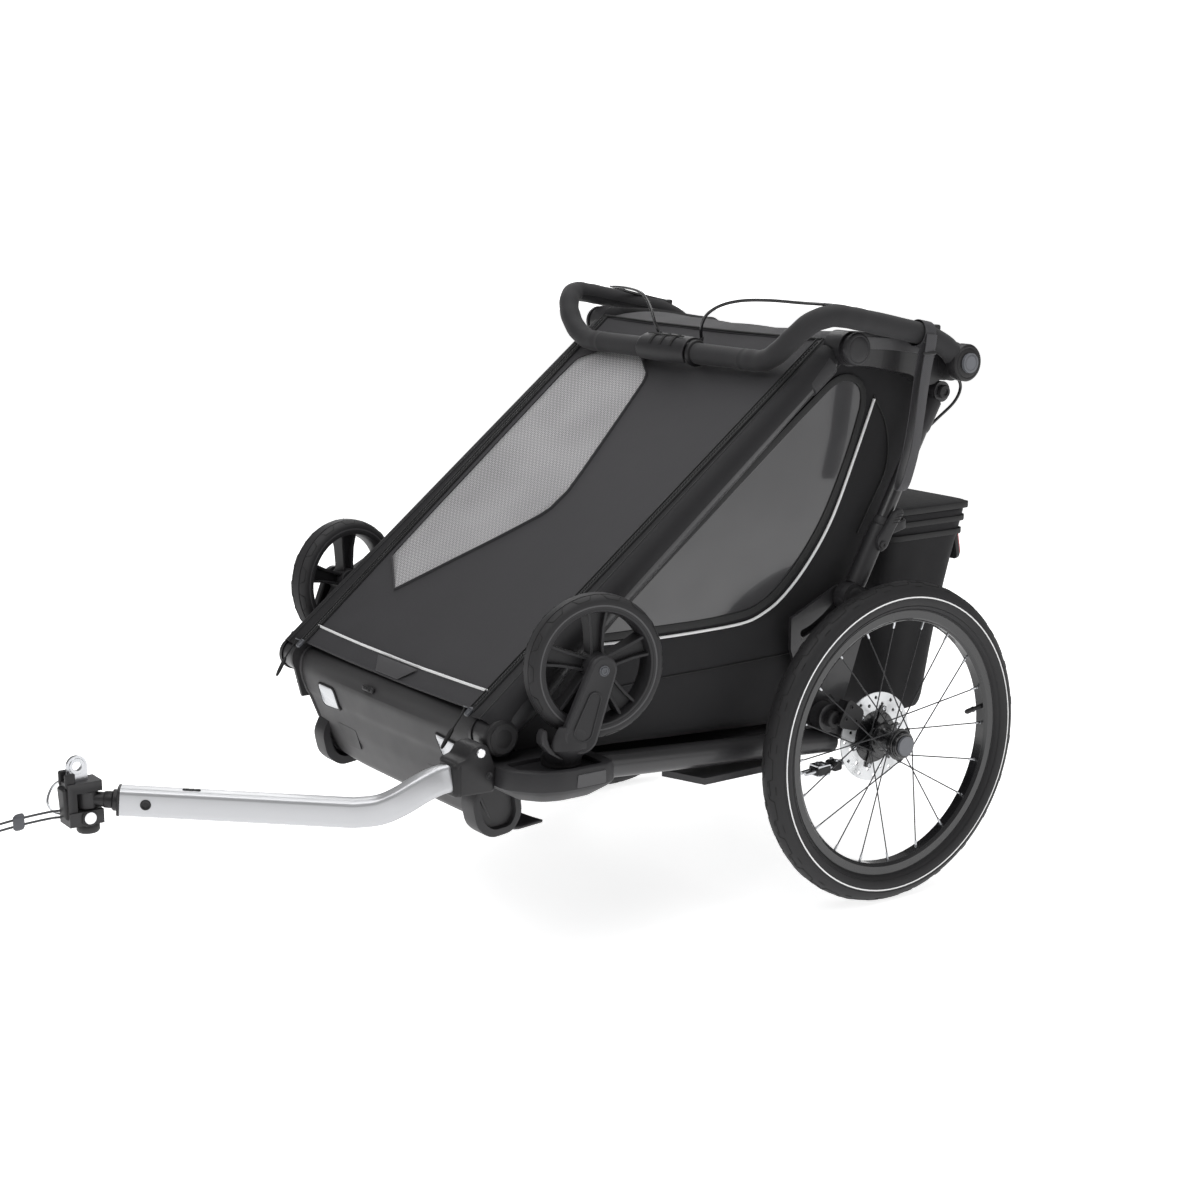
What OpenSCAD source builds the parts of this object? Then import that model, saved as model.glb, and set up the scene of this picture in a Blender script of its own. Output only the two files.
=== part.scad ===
/* [Overall] */
// Length from the front of the hitch to the back of the cargo lid
overall_l = 1494; // [1490:1:1498]
// Width over the two wheel buttons
overall_w = 800; // [798:1:812]

/* [Rear wheels] */
// Outer radius of a rear tyre
tyre_r = 250; // [248:1:252]
// Width of a rear tyre
tyre_w = 47; // [40:1:47]
// Number of spokes in a rear wheel
spoke_count = 20; // [16:2:28]
// Radius of a brake disc
disc_r = 70; // [68:1:72]
// Radius of a wheel axle stub
stub_r = 6; // [5:0.5:7]

/* [Lower frame] */
// Radius of a lower side rail
rail_r = 19; // [16:0.5:19]
// Distance of a lower side rail from the middle
rail_x = 295; // [294:1:296]
// Radius of the pin that a swing arm turns on
arm_pin_r = 8; // [7:0.5:9]

/* [Upper frame] */
// Radius of a front tube
front_tube_r = 18; // [15:1:18]
// Angle that the upper frame folds down through
fold_angle = 24; // [20:1:24]
// Turn of the struts for each degree of fold
strut_ratio = 1.6; // [1.5:0.05:1.65]
// Radius of the pin at the foot of a strut
foot_pin_r = 5; // [4:0.5:5]

/* [Handlebar] */
// Radius of the padded handlebar
grip_r = 17; // [15:0.5:17]
// Radius of the pin that the handlebar turns on
bar_pin_r = 8; // [7:0.5:9]

/* [Stroller wheels] */
// Outer radius of a stroller wheel
caster_r = 101; // [96:1:102]
// Turn of a docked stroller wheel about the upright
caster_yaw = 10.8; // [10:0.1:11]

/* [Tow arm] */
// Radius of the hole in the axle plate of the hitch
axle_hole_r = 6; // [5:0.25:6.5]
// Size of the tow arm across its sides, wide then tall
tow_size = [30, 38]; // [30:38]

/* [Hidden] */
$fn = 64;

// Running clearance on a radius
run = 0.05;

// The back of the cargo lid, and the rear axle's distance behind the middle of the length
lid_back = 289;
axle_y = overall_l / 2 - lid_back;
// Places in the side view, as [Y from the axle, Z from the floor]
hinge_a = [-670, 352];
joint_b = [-58, 850];
bar_pivot = [150, 820];
strut_top = [128, 775];
strut_foot = [-40, 472];
latch_at = [4, 551];
arm_pivot = [-86, 291];
axle_yz = [0, tyre_r];
wheel_x = overall_w / 2 - 33.5;
// Outer and inner radius of a rim
rim_out = tyre_r - 41;
rim_in = rim_out - 19;

// Fabric plane of the front cover, and the canopy behind it
cover_low = [-654, 399];
cover_high = [-80, 857];
canopy_back = [128, 838];
fabric_t = 4;

// The fork stands on the dock at this place, and its wheel is above it
caster_at = [355, -550, 447];
fork_base = [-3, -48];
dock_top = 318;

// Arms of the strut about its top joint
strut_vec = strut_top - strut_foot;
strut_l = norm(strut_vec);
strut_a = atan2(strut_vec[1], strut_vec[0]);

// Centre of the hitch, then the path of the tow arm that starts behind it
hitch_at = [78, lid_back - overall_l + 31, 300];
tow_path = [
    hitch_at + [22, 36, -4], [252, -872, 269], [270, -842, 272], [284, -818, 283],
    [294, -792, 298], [299, -772, 306], [300, -755, 308], [300, -702, 308]
];

// Routes of the brake cables on the handlebar and on the frame, left side
bar_cable = [
    [52, -128, 852], [58, -124, 873], [80, -110, 902], [125, -82, 926], [185, -48, 936],
    [245, -8, 928], [295, 34, 908], [325, 66, 889], [334, 92, 884]
];
frame_cable = [
    [336, 158, 782], [336, 150, 744], [336, 120, 686], [336, 80, 618], [336, 42, 548],
    [336, 6, 480], [336, -18, 415], [336, -38, 360], [336, -54, 324]
];
// Route of one strand of the safety cord, and the spacing of the two strands
cord_route = [
    [70, -1205.3, 286], [66, -1216, 286], [58, -1236, 283], [50, -1258, 279],
    [42, -1280, 274], [34, -1302, 269], [26, -1324, 263], [18, -1346, 257]
];
cord_r = 1.6;
cord_gap = [0, 0, 9];

function turn(p, a) = [p[0] * cos(a) - p[1] * sin(a), p[0] * sin(a) + p[1] * cos(a)];
// Where the foot of a strut is, once the frame has folded by a given angle
function foot_at(fold) =
    hinge_a + turn(strut_top - hinge_a, -fold)
    - strut_l * [cos(strut_a - fold * (1 + strut_ratio)), sin(strut_a - fold * (1 + strut_ratio))];

// Frames along a route, for sweeping a ring of points along it
function unit(v) = v / norm(v);
function heading(p, i) = unit(p[min(i + 1, len(p) - 1)] - p[max(i - 1, 0)]);
function side_of(d) = unit(cross(d, [0, 0, 1]));
function ring_at(p, i, ring) =
    let (d = heading(p, i), s = side_of(d), u = cross(s, d))
    [for (q = ring) p[i] + q[0] * s + q[1] * u];
function round_ring(r, n) = [for (k = [0:n - 1]) r * [cos(360 * k / n), sin(360 * k / n)]];
function box_ring(w, h, c) = [
    [w / 2, h / 2 - c], [w / 2 - c, h / 2], [c - w / 2, h / 2], [-w / 2, h / 2 - c],
    [-w / 2, c - h / 2], [c - w / 2, -h / 2], [w / 2 - c, -h / 2], [w / 2, c - h / 2]
];
// Points added between the given ones, so that a route bends smoothly
function ease(a, b, c, d, t) =
    0.5 * (2 * b + (c - a) * t + (2 * a - 5 * b + 4 * c - d) * t * t
        + (3 * b - a - 3 * c + d) * t * t * t);
function smooth(p, n) = [
    for (i = [0:len(p) - 2]) for (k = [0:n - 1])
        ease(p[max(i - 1, 0)], p[i], p[i + 1], p[min(i + 2, len(p) - 1)], k / n),
    p[len(p) - 1]
];

module sweep(p, ring) {
    n = len(ring);
    points = [for (i = [0:len(p) - 1]) each ring_at(p, i, ring)];
    walls = [for (i = [0:len(p) - 2]) for (k = [0:n - 1])
        [i * n + k, i * n + (k + 1) % n, (i + 1) * n + (k + 1) % n, (i + 1) * n + k]];
    start = [[for (k = [0:n - 1]) n - 1 - k]];
    finish = [[for (k = [0:n - 1]) (len(p) - 1) * n + k]];
    polyhedron(points, concat(walls, start, finish));
}

module at_axle() { translate([0, axle_y, 0]) children(); }
module sided(side) { if (side > 0) children(); else mirror([1, 0, 0]) children(); }
module pair() { children(); mirror([1, 0, 0]) children(); }
// A round bar along X, from x0 to x1, centred on a place in the side view
module xbar(x0, x1, at, r) {
    translate([x0, at[0], at[1]]) rotate([0, 90, 0]) cylinder(h = x1 - x0, r = r);
}
// A side view outline, given depth along X
module side_plate(x0, x1) {
    translate([x0, 0, 0]) rotate([90, 0, 90]) linear_extrude(x1 - x0) children();
}
module rod(p, q, r) {
    v = q - p;
    translate(p) rotate([0, acos(v[2] / norm(v)), atan2(v[1], v[0])]) cylinder(h = norm(v), r = r);
}
module spot(at, r) { translate(at) circle(r = r); }
// A straight web between two round ends, in the side view
module web(p, q, rp, rq) {
    n = turn(unit(q - p), 90);
    polygon([p + rp * n, p - rp * n, q - rq * n, q + rq * n]);
}
module strip(points, t) {
    last = len(points) - 1;
    lower = [for (i = [last:-1:0])
        points[i] - t * turn(unit(points[min(i + 1, last)] - points[max(i - 1, 0)]), 90)];
    polygon(concat(points, lower));
}

// Lower frame ----------------------------------------------------------

module side_rails() color("#2b2b2d") at_axle() pair() {
    rod([rail_x, -532, 283], [rail_x, -62, 247], rail_r);
    difference() {
        side_plate(286, 292) difference() {
            polygon([[-150, 250], [-30, 243], [-34, 300], [2, 400], [-10, 488], [-52, 488],
                [-142, 448], [-142, 400], [-118, 330]]);
            for (i = [0:7]) {
                spot(foot_at(fold_angle * i / 8), foot_pin_r + 1);
                web(foot_at(fold_angle * i / 8), foot_at(fold_angle * (i + 1) / 8),
                    foot_pin_r + 1, foot_pin_r + 1);
            }
            spot(foot_at(fold_angle), foot_pin_r + 1);
        }
        xbar(280, 300, arm_pivot, 16.2);
    }
}

module rear_crossbar() color("#2b2b2d") at_axle() {
    xbar(-299, 299, arm_pivot, 16);
    pair() {
        xbar(299, 324, arm_pivot, arm_pin_r);
        xbar(323, 328, arm_pivot, 12);
    }
}

// Tray under a docked stroller wheel, whose front end is at the given place
module dock(side, front) sided(side) difference() {
    intersection() {
        side_plate(269, 398) polygon([[front, dock_top], [front, 290], [front + 24, 270],
            [-550, 270], [-534, 284], [-534, dock_top]]);
        translate([0, -500, 0]) rotate([90, 0, 0]) linear_extrude(220)
            polygon([[269, 270], [372, 270], [398, 288], [398, dock_top], [269, dock_top]]);
        linear_extrude(400) polygon([[269, front], [345, front], [385, front + 30],
            [398, front + 65], [398, -556], [386, -534], [269, -534]]);
    }
    translate([0, 0, dock_top - 6]) linear_extrude(10)
        polygon([[318, front + 18], [350, front + 18], [382, front + 50], [388, front + 80],
            [388, -556], [318, -556]]);
    foot = [caster_at[0], caster_at[1]] + turn(fork_base, -caster_yaw);
    translate([foot[0], foot[1], 272]) cylinder(h = 60, r = 9 + run);
}

module docks() color("#39393c") at_axle() {
    dock(1, -690);
    dock(-1, -650);
}

module bumper_shell() color("#4b494b") at_axle() intersection() {
    side_plate(-262, 262) strip([[-560, 190], [-604, 187], [-645, 204], [-664, 262],
        [-682, 334], [-680, 356], [-668, 368], [-648, 372]], -5);
    translate([0, -500, 0]) rotate([90, 0, 0]) linear_extrude(220)
        polygon([[-262, 380], [-262, 322], [-232, 250], [-226, 180], [226, 180], [232, 250],
            [262, 322], [262, 380]]);
}

// A loop below each corner, which the trailer can be set down on
module skid_loops() color("#39393c") at_axle() pair() side_plate(237, 269) difference() {
    polygon([[-655, 268], [-600, 268], [-590, 212], [-604, 192], [-640, 190], [-662, 204],
        [-670, 236]]);
    polygon([[-646, 258], [-610, 258], [-603, 216], [-612, 206], [-636, 204], [-650, 214],
        [-656, 236]]);
}

module foot_plates() color("#39393c") at_axle() pair()
    translate([0, 0, 224]) linear_extrude(10)
        polygon([[240, -345], [312, -320], [312, -180], [240, -160]]);

module floor_panel() color("#262628") at_axle()
    translate([-262, -590, 262]) cube([524, 500, 8]);

module seat_cushion() color("#2f2f33") at_axle()
    side_plate(-232, 232) polygon([[-335, 272], [-335, 318], [-318, 328], [-110, 318],
        [-110, 272]]);

module seat_back() color("#2f2f33") at_axle()
    side_plate(-236, 236) polygon([[-66, 330], [-36, 322], [106, 770], [76, 778]]);

module side_panel(side) color("#1f1f22") at_axle() sided(side)
    side_plate(262, 266) polygon([[-600, 309], [-636, 372], [-150, 766], [-60, 818],
        [70, 800], [86, 740], [50, 600], [-6, 520], [-12, 309]]);

module front_hubs() color("#1d1d1f") at_axle() pair() {
    xbar(264, 300, hinge_a, 8);
    side_plate(263, 269) union() {
        spot(hinge_a, 26);
        polygon([[-695, 352], [-645, 352], [-630, 290], [-680, 290]]);
    }
    xbar(300, 308, hinge_a, 26);
    xbar(308, 313, hinge_a, 21);
}

module tow_socket() color("#1d1d1f") at_axle() difference() {
    union() {
        translate([276, -750, 282]) cube([48, 59.5, 53]);
        translate([284, -728, 334]) cube([32, 30, 15]);
    }
    sweep([[300, -760, 308], [300, -701, 308]], box_ring(tow_size[0] + 1, tow_size[1] + 1, 9));
    xbar(300, 330, [-713, 341.5], 6.6);
}

module cargo_bag() color("#1f1f22") at_axle() difference() {
    side_plate(-238, 238) polygon([[108, 570], [285, 570], [208, 245], [196, 236], [96, 236],
        [90, 245]]);
    side_plate(-235, 235) polygon([[111, 580], [282, 580], [205, 247], [194, 239], [98, 239],
        [93, 247]]);
}

module cargo_lid() color("#19191b") at_axle()
    side_plate(-241, 241) polygon([[106, 570.5], [lid_back, 570.5], [lid_back, 580], [270, 588],
        [125, 588], [106, 580]]);

module frame_cables() color("#1a1a1a") at_axle() pair()
    sweep(smooth(frame_cable, 2), round_ring(2.5, 8));

// Upper frame ----------------------------------------------------------

module front_tubes() color("#2e2d30") at_axle() pair() difference() {
    d = unit(joint_b - hinge_a);
    low = hinge_a + 18 * d;
    high = joint_b - 28 * d;
    union() {
        rod([290, low[0], low[1]], [290, high[0], high[1]], front_tube_r);
        xbar(270, 299.5, hinge_a, 24);
    }
    xbar(260, 320, hinge_a, 8 + run);
    // Flats keep the tube clear of the hub's two cheeks
    xbar(200, 269.5, hinge_a, 32);
    xbar(299.5, 340, hinge_a, 32);
}

module top_link(side) color("#313033") at_axle() sided(side) {
    difference() {
        union() {
            xbar(284, 318, joint_b, 26);
            xbar(318, 331, joint_b, 22);
            side_plate(286, 317) polygon([[-58, 875], [40, 868], [150, 849], [150, 794],
                [104, 786], [60, 806], [-20, 822], [-58, 825]]);
            xbar(284, 318, bar_pivot, 30);
            side_plate(286, 295) union() {
                spot(strut_top, 16);
                polygon([[113, 800], [143, 800], [143, 775], [113, 775]]);
            }
        }
        // Room for the eye at the top of the strut
        xbar(295, 330, strut_top, 17.5);
    }
    xbar(294, 325, strut_top, 6);
    xbar(321, 325, strut_top, 10);
    xbar(317, 342, bar_pivot, bar_pin_r);
}

module top_crossbar() color("#2b2b2d") at_axle() xbar(-284, 284, bar_pivot, 12);

module front_cover() color("#2a2a2d") at_axle()
    side_plate(-254, 254) strip([cover_low, cover_high], fabric_t);

module canopy() color("#2e2e31") at_axle()
    side_plate(-268, 268) strip([cover_high + [3.5, 0.5], [-30, 862], [60, 856], canopy_back],
        fabric_t);

module strut(side) color("#3a393c") at_axle() sided(side) {
    d = unit(strut_foot - strut_top);
    high = strut_top + 12 * d;
    low = strut_foot - 16 * d;
    difference() {
        union() {
            rod([308, high[0], high[1]], [308, low[0], low[1]], 11.5);
            xbar(296, 320, strut_top, 16);
        }
        xbar(280, 330, strut_top, 6 + run);
    }
    xbar(296, 321, strut_foot, 23);
    xbar(284, 297, strut_foot, foot_pin_r);
    xbar(279, 285, strut_foot, 10);
    xbar(312, 331, latch_at, 4);
}

// Lever that locks a strut, on a pin low on the strut
module fold_latch(side) color("#444347") at_axle() sided(side) {
    d = unit(strut_top - strut_foot);
    tip = latch_at + 58 * d + 8 * turn(d, -90);
    difference() {
        side_plate(321.5, 330) union() {
            spot(latch_at, 13);
            web(latch_at, tip, 12.9, 9);
            spot(tip, 9.1);
        }
        xbar(310, 340, latch_at, 4 + run);
    }
}

// Handlebar ------------------------------------------------------------

bar_low = [-151, 829];
bar_side = [
    [335, 138, 827], [335, 116, 846], [335, 70, 866], [335, -30, 888], [334, -74, 897],
    [329, -106, 901], [312, -130, 892], [290, -145, 870], [262, -151, 846],
    [230, -151, 831], [196, -151, 829], [180, -151, 829]
];

module handlebar() color("#2c2b2e") at_axle() {
    xbar(-66, 66, bar_low, 12.5);
    pair() {
        xbar(64, 200, bar_low, grip_r);
        xbar(60, 66, bar_low, 21.4);
        difference() {
            union() {
                sweep(smooth(bar_side, 2), round_ring(grip_r - 0.6, 16));
                xbar(318.3, 352, bar_pivot, 29);
            }
            xbar(310, 343, bar_pivot, bar_pin_r + run);
            xbar(346, 360, bar_pivot, 15 + run);
        }
    }
}

module brake_lever() color("#343336") at_axle() {
    lean = 38.6;
    translate([0, bar_low[0], bar_low[1]]) rotate([lean, 0, 0]) difference() {
        rotate([0, 90, 0]) cylinder(h = 118, r = 24, center = true);
        rotate([0, 90, 0]) cylinder(h = 120, r = 20.5, center = true);
        translate([-70, -40, -60]) cube([140, 80, 59]);
    }
}

module pivot_button(side) color("#4a4a4d") at_axle() sided(side)
    xbar(350, 358, bar_pivot, 15);

module bar_cables() color("#1a1a1a") at_axle() pair()
    sweep(smooth(bar_cable, 3), round_ring(2.5, 8));

module wrist_strap() color("#39393b") at_axle() side_plate(353, 357)
    polygon([[52, 868], [78, 862], [66, 800], [50, 690], [28, 640], [6, 640], [28, 700],
        [42, 800]]);

// Suspension and rear wheels -------------------------------------------

module swing_arm(side) color("#232325") at_axle() sided(side) {
    difference() {
        union() {
            xbar(300, 322, arm_pivot, 22.5);
            side_plate(314, 322) union() {
                web(arm_pivot, axle_yz, 20, 17);
                spot(axle_yz, 18);
                polygon([[-52, 262], [-84, 280], [-84, 306], [-58, 314], [-30, 286]]);
            }
            // The brake caliper, which straddles the edge of the disc
            side_plate(321, 340) polygon([[-84, 284], [-66, 318], [-40, 298], [-48, 274]]);
        }
        xbar(290, 330, arm_pivot, arm_pin_r + run);
        xbar(322.5, 341, arm_pivot, 14);
        xbar(325, 334, axle_yz, disc_r + 2);
    }
    xbar(320, 374, axle_yz, stub_r);
}

module leaf_spring(side) color("#c8ccd0") at_axle() sided(side) {
    for (x = [298, 308]) rod([x, -122, 204], [x, 22, 214], 3);
    translate([292, -100, 197]) cube([22, 24, 17]);
    translate([293, 8, 207]) cube([20, 16, 30]);
}

module tyre(side) color("#2d2c2e") at_axle() sided(side)
    translate([wheel_x, 0, tyre_r]) rotate([0, 90, 0]) rotate_extrude($fn = 96)
        difference() {
            translate([tyre_r - tyre_w / 2, 0]) circle(r = tyre_w / 2);
            translate([tyre_r - 50, -30]) square([9, 60]);
        }

module rim(side) color("#29282b") at_axle() sided(side)
    translate([wheel_x, 0, tyre_r]) rotate([0, 90, 0]) rotate_extrude($fn = 96)
        polygon([[rim_out, -13], [rim_out, 13], [rim_in + 5, 12], [rim_in, 8], [rim_in, -8],
            [rim_in + 5, -12]]);

// Wires from the two flanges of the hub to the inside of the rim
module spokes(side) color("#3a3a3c") at_axle() sided(side)
    for (i = [0:spoke_count - 1]) {
        flange_x = i % 2 == 0 ? 386 : 345;
        lead = (i % 4 < 2 ? 1 : -1) * 62;
        a = 360 * i / spoke_count;
        rod([flange_x, 25.2 * cos(a + lead), tyre_r + 25.2 * sin(a + lead)],
            [wheel_x, (rim_in - 0.3) * cos(a), tyre_r + (rim_in - 0.3) * sin(a)], 1);
    }

module hub(side) color("#1b1b1d") at_axle() sided(side) difference() {
    union() {
        xbar(324, 392, axle_yz, 14);
        xbar(343, 347, axle_yz, 24);
        xbar(384, 388, axle_yz, 24);
        xbar(388, 396, axle_yz, 19);
        xbar(327, 330, axle_yz, 41);
    }
    xbar(320, 376, axle_yz, stub_r + run);
    xbar(370, 400, axle_yz, 4.2);
    xbar(389, 400, axle_yz, 15.3);
}

module brake_disc(side) color("#d9dadc") at_axle() sided(side) difference() {
    xbar(327.5, 329.5, axle_yz, disc_r);
    xbar(320, 340, axle_yz, 41.2);
    for (i = [0:11], k = [0:1]) {
        a = 30 * i + 15 * k;
        xbar(320, 340, axle_yz + (k == 0 ? 62 : 52) * [cos(a), sin(a)], 3);
    }
}

module release_button(side) color("#55585e") at_axle() sided(side) {
    xbar(391.5, overall_w / 2, axle_yz, 15);
    xbar(379, 392, axle_yz, 4);
}

// Docked stroller wheels -----------------------------------------------

module at_caster(side) {
    at_axle() sided(side) translate(caster_at) rotate([0, 0, -caster_yaw]) children();
}

module fork(side) color("#3a3a3d") at_caster(side) {
    foot = [fork_base[0], fork_base[1], dock_top - caster_at[2]];
    side_plate(22.5, 36) union() {
        spot([0, 0], 21);
        web([0, 0], [-34, -88], 20.9, 27);
        spot([-34, -88], 27.1);
    }
    translate([foot[0], foot[1], foot[2] - 5.5]) {
        cylinder(h = 16, r = 24);
        translate([0, 0, -38]) cylinder(h = 40, r = 9);
    }
    side_plate(-20, 36) polygon([[-72, -124], [-22, -124], [-14, -106], [-40, -108],
        [-66, -100], [-74, -108]]);
    side_plate(10, 36) polygon([[-76, -120], [-60, -112], [-64, -96], [-80, -76], [-90, -78],
        [-90, -100]]);
    xbar(-18, 24, [0, 0], 4);
}

module caster(side) color("#2a292c") at_caster(side) difference() {
    union() {
        rotate([0, 90, 0]) rotate_extrude($fn = 72) difference() {
            translate([caster_r - 20, -19]) square([20, 38]);
            translate([caster_r, 19]) rotate([0, 0, 45]) square(12, center = true);
            translate([caster_r, -19]) rotate([0, 0, 45]) square(12, center = true);
        }
        xbar(-16, 20, [0, 0], 15);
        for (i = [0:4]) rotate([72 * i, 0, 0]) translate([-9, -6, 10]) cube([18, 12, 73]);
    }
    xbar(-30, 30, [0, 0], 4 + run);
}

// Tow arm and hitch ----------------------------------------------------

module tow_arm() color("#d8dadc") at_axle()
    sweep(tow_path, box_ring(tow_size[0], tow_size[1], 9));

module tow_button() color("#d0d3d6") at_axle() {
    xbar(308, 320, [-713, 341.5], 6.5);
}

module hitch_yoke() color("#1b1b1d") at_axle() {
    d = unit(tow_path[0] - tow_path[1]);
    difference() {
        union() {
            rod(tow_path[0] + 0.3 * d, tow_path[0] + 34 * d, 10);
            translate(hitch_at + [0, 0, -11]) cylinder(h = 22, r = 15);
        }
        translate(hitch_at + [0, 0, -12]) cylinder(h = 24, r = 6 + run);
    }
}

module hitch_body() color("#1b1b1d") at_axle() translate(hitch_at) difference() {
    union() {
        translate([-16, -31, 12]) cube([32, 47, 14]);
        translate([-18, -31, -32]) cube([36, 47, 19]);
        translate([-16, -31, -14]) cube([32, 12, 27]);
        translate([0, 0, -14]) cylinder(h = 27, r = 6);
    }
    translate([10, -4, -22]) rotate([0, 90, 0]) cylinder(h = 20, r = 8 + run);
}

module axle_plate() color("#c5c9cc") at_axle() translate(hitch_at) difference() {
    side_plate(-2.5, 2.5) polygon(concat(
        [for (a = [0:10:180]) [-12, 46] + 14 * [cos(a), sin(a)]], [[-26, 26], [2, 26]]));
    xbar(-5, 5, [-12, 46], axle_hole_r);
}

module lock_button() color("#e6e8ea") at_axle() translate(hitch_at)
    xbar(13.5, 21.5, [-4, -22], 8);

module safety_cord() color("#3c3d3f") at_axle()
    for (k = [0, 1]) sweep([for (p = smooth(cord_route, 3)) p - k * cord_gap],
        round_ring(cord_r, 8));

module cord_slider() color("#55575a") at_axle()
    difference() {
        translate(cord_route[3] + [0, 0, -4.5]) cube([11, 15, 22], center = true);
        for (k = [0, 1]) sweep([for (p = smooth(cord_route, 3)) p - k * cord_gap],
            round_ring(cord_r + 0.1, 8));
    }

side_rails();
rear_crossbar();
docks();
bumper_shell();
skid_loops();
foot_plates();
floor_panel();
seat_cushion();
seat_back();
side_panel(1);  // side_panel_left
side_panel(-1);  // side_panel_right
front_hubs();
tow_socket();
cargo_bag();
cargo_lid();
frame_cables();
front_tubes();
top_link(1);  // top_link_left
top_link(-1);  // top_link_right
top_crossbar();
front_cover();
canopy();
strut(1);  // strut_left
strut(-1);  // strut_right
fold_latch(1);  // fold_latch_left
fold_latch(-1);  // fold_latch_right
handlebar();
brake_lever();
bar_cables();
wrist_strap();
pivot_button(1);  // pivot_button_left
pivot_button(-1);  // pivot_button_right
swing_arm(1);  // swing_arm_left
swing_arm(-1);  // swing_arm_right
leaf_spring(1);  // leaf_spring_left
leaf_spring(-1);  // leaf_spring_right
tyre(1);  // tyre_left
tyre(-1);  // tyre_right
rim(1);  // rim_left
rim(-1);  // rim_right
spokes(1);  // spokes_left
spokes(-1);  // spokes_right
hub(1);  // hub_left
hub(-1);  // hub_right
brake_disc(1);  // brake_disc_left
brake_disc(-1);  // brake_disc_right
release_button(1);  // release_button_left
release_button(-1);  // release_button_right
fork(1);  // fork_left
fork(-1);  // fork_right
caster(1);  // caster_left
caster(-1);  // caster_right
tow_arm();
tow_button();
hitch_yoke();
hitch_body();
axle_plate();
lock_button();
safety_cord();
cord_slider();
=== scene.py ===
import math

import bpy
import numpy as np
from mathutils import Matrix, Vector


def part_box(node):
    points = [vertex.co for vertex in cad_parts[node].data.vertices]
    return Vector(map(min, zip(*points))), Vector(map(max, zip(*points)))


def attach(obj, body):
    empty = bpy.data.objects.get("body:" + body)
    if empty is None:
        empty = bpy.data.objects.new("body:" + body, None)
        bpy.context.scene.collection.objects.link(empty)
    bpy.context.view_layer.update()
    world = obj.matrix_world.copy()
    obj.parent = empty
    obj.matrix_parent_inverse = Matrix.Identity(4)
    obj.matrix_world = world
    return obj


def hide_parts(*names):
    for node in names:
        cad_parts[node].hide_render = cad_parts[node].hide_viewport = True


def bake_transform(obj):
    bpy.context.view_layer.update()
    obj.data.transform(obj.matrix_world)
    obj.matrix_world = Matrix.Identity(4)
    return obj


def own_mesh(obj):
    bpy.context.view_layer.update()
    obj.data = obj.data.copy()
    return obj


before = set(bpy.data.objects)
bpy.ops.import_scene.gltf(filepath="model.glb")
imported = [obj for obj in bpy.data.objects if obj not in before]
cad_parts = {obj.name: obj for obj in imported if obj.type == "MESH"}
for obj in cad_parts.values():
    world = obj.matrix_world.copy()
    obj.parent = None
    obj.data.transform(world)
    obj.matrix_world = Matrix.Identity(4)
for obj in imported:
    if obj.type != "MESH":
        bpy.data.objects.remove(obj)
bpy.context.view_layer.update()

# Lengths below are millimetres. X and Z are the row frame's, and Y is measured from the rear axle.
wheel_low, wheel_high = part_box("tyre_left")
AXLE_Y = (wheel_low.y + wheel_high.y) / 2
TYRE_R = (wheel_high.z - wheel_low.z) * 500
WHEEL_X = (wheel_high.x + wheel_low.x) * 500
TYRE_HALF = (wheel_high.x - wheel_low.x) * 500
HINGE = np.array([0.0, -670.0, 352.0])
JOINT = np.array([0.0, -58.0, 850.0])
BAR_PIVOT = np.array([0.0, 150.0, 820.0])
ARM_PIVOT = np.array([0.0, -86.0, 291.0])
CASTER = np.array([355.0, -550.0, 447.0])
CASTER_YAW = math.radians(-10.8)
SIDES = (("left", 1), ("right", -1))


# ---------------------------------------------------------------- shapes
def place(points):
    """Points in millimetres from the axle, as metres in the row frame."""
    return np.asarray(points, float) / 1000 + (0, AXLE_Y, 0)


def smooth(points, n=6):
    """A Catmull-Rom curve through the points, with n steps between each two."""
    p = np.asarray(points, float)
    ends = np.vstack([p[:1], p, p[-1:]])
    made = []
    for a, b, c, d in zip(ends[:-3], ends[1:-2], ends[2:-1], ends[3:]):
        for t in np.arange(n) / n:
            made.append(0.5 * (2 * b + (c - a) * t + (2 * a - 5 * b + 4 * c - d) * t * t
                               + (3 * b - a - 3 * c + d) * t ** 3))
    return np.vstack([made, p[-1:]])


def resample(points, n):
    """n points spaced evenly along a line."""
    p = np.asarray(points, float)
    run = np.concatenate([[0], np.cumsum(np.linalg.norm(np.diff(p, axis=0), axis=1))])
    return np.stack([np.interp(np.linspace(0, run[-1], n), run, p[:, k]) for k in range(p.shape[1])], 1)


def unit(v):
    v = np.asarray(v, float)
    return v / np.linalg.norm(v)


def rounded(outline, r, n=4):
    """A closed outline with its corners rounded."""
    p = np.asarray(outline, float)
    made = []
    for before, corner, after in zip(np.roll(p, 1, 0), p, np.roll(p, -1, 0)):
        a, b = before - corner, after - corner
        reach = min(r, 0.45 * np.linalg.norm(a), 0.45 * np.linalg.norm(b))
        start, end = corner + unit(a) * reach, corner + unit(b) * reach
        for t in np.linspace(0, 1, n + 1):
            made.append((1 - t) ** 2 * start + 2 * t * (1 - t) * corner + t * t * end)
    return np.array(made)


def inset(outline, d):
    """A closed outline moved inwards by d, where it runs anticlockwise."""
    p = np.asarray(outline, float)
    out = []
    for before, corner, after in zip(np.roll(p, 1, 0), p, np.roll(p, -1, 0)):
        along = unit(after - before)
        out.append(corner + d * np.array([-along[1], along[0]]))
    return np.array(out)


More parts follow.
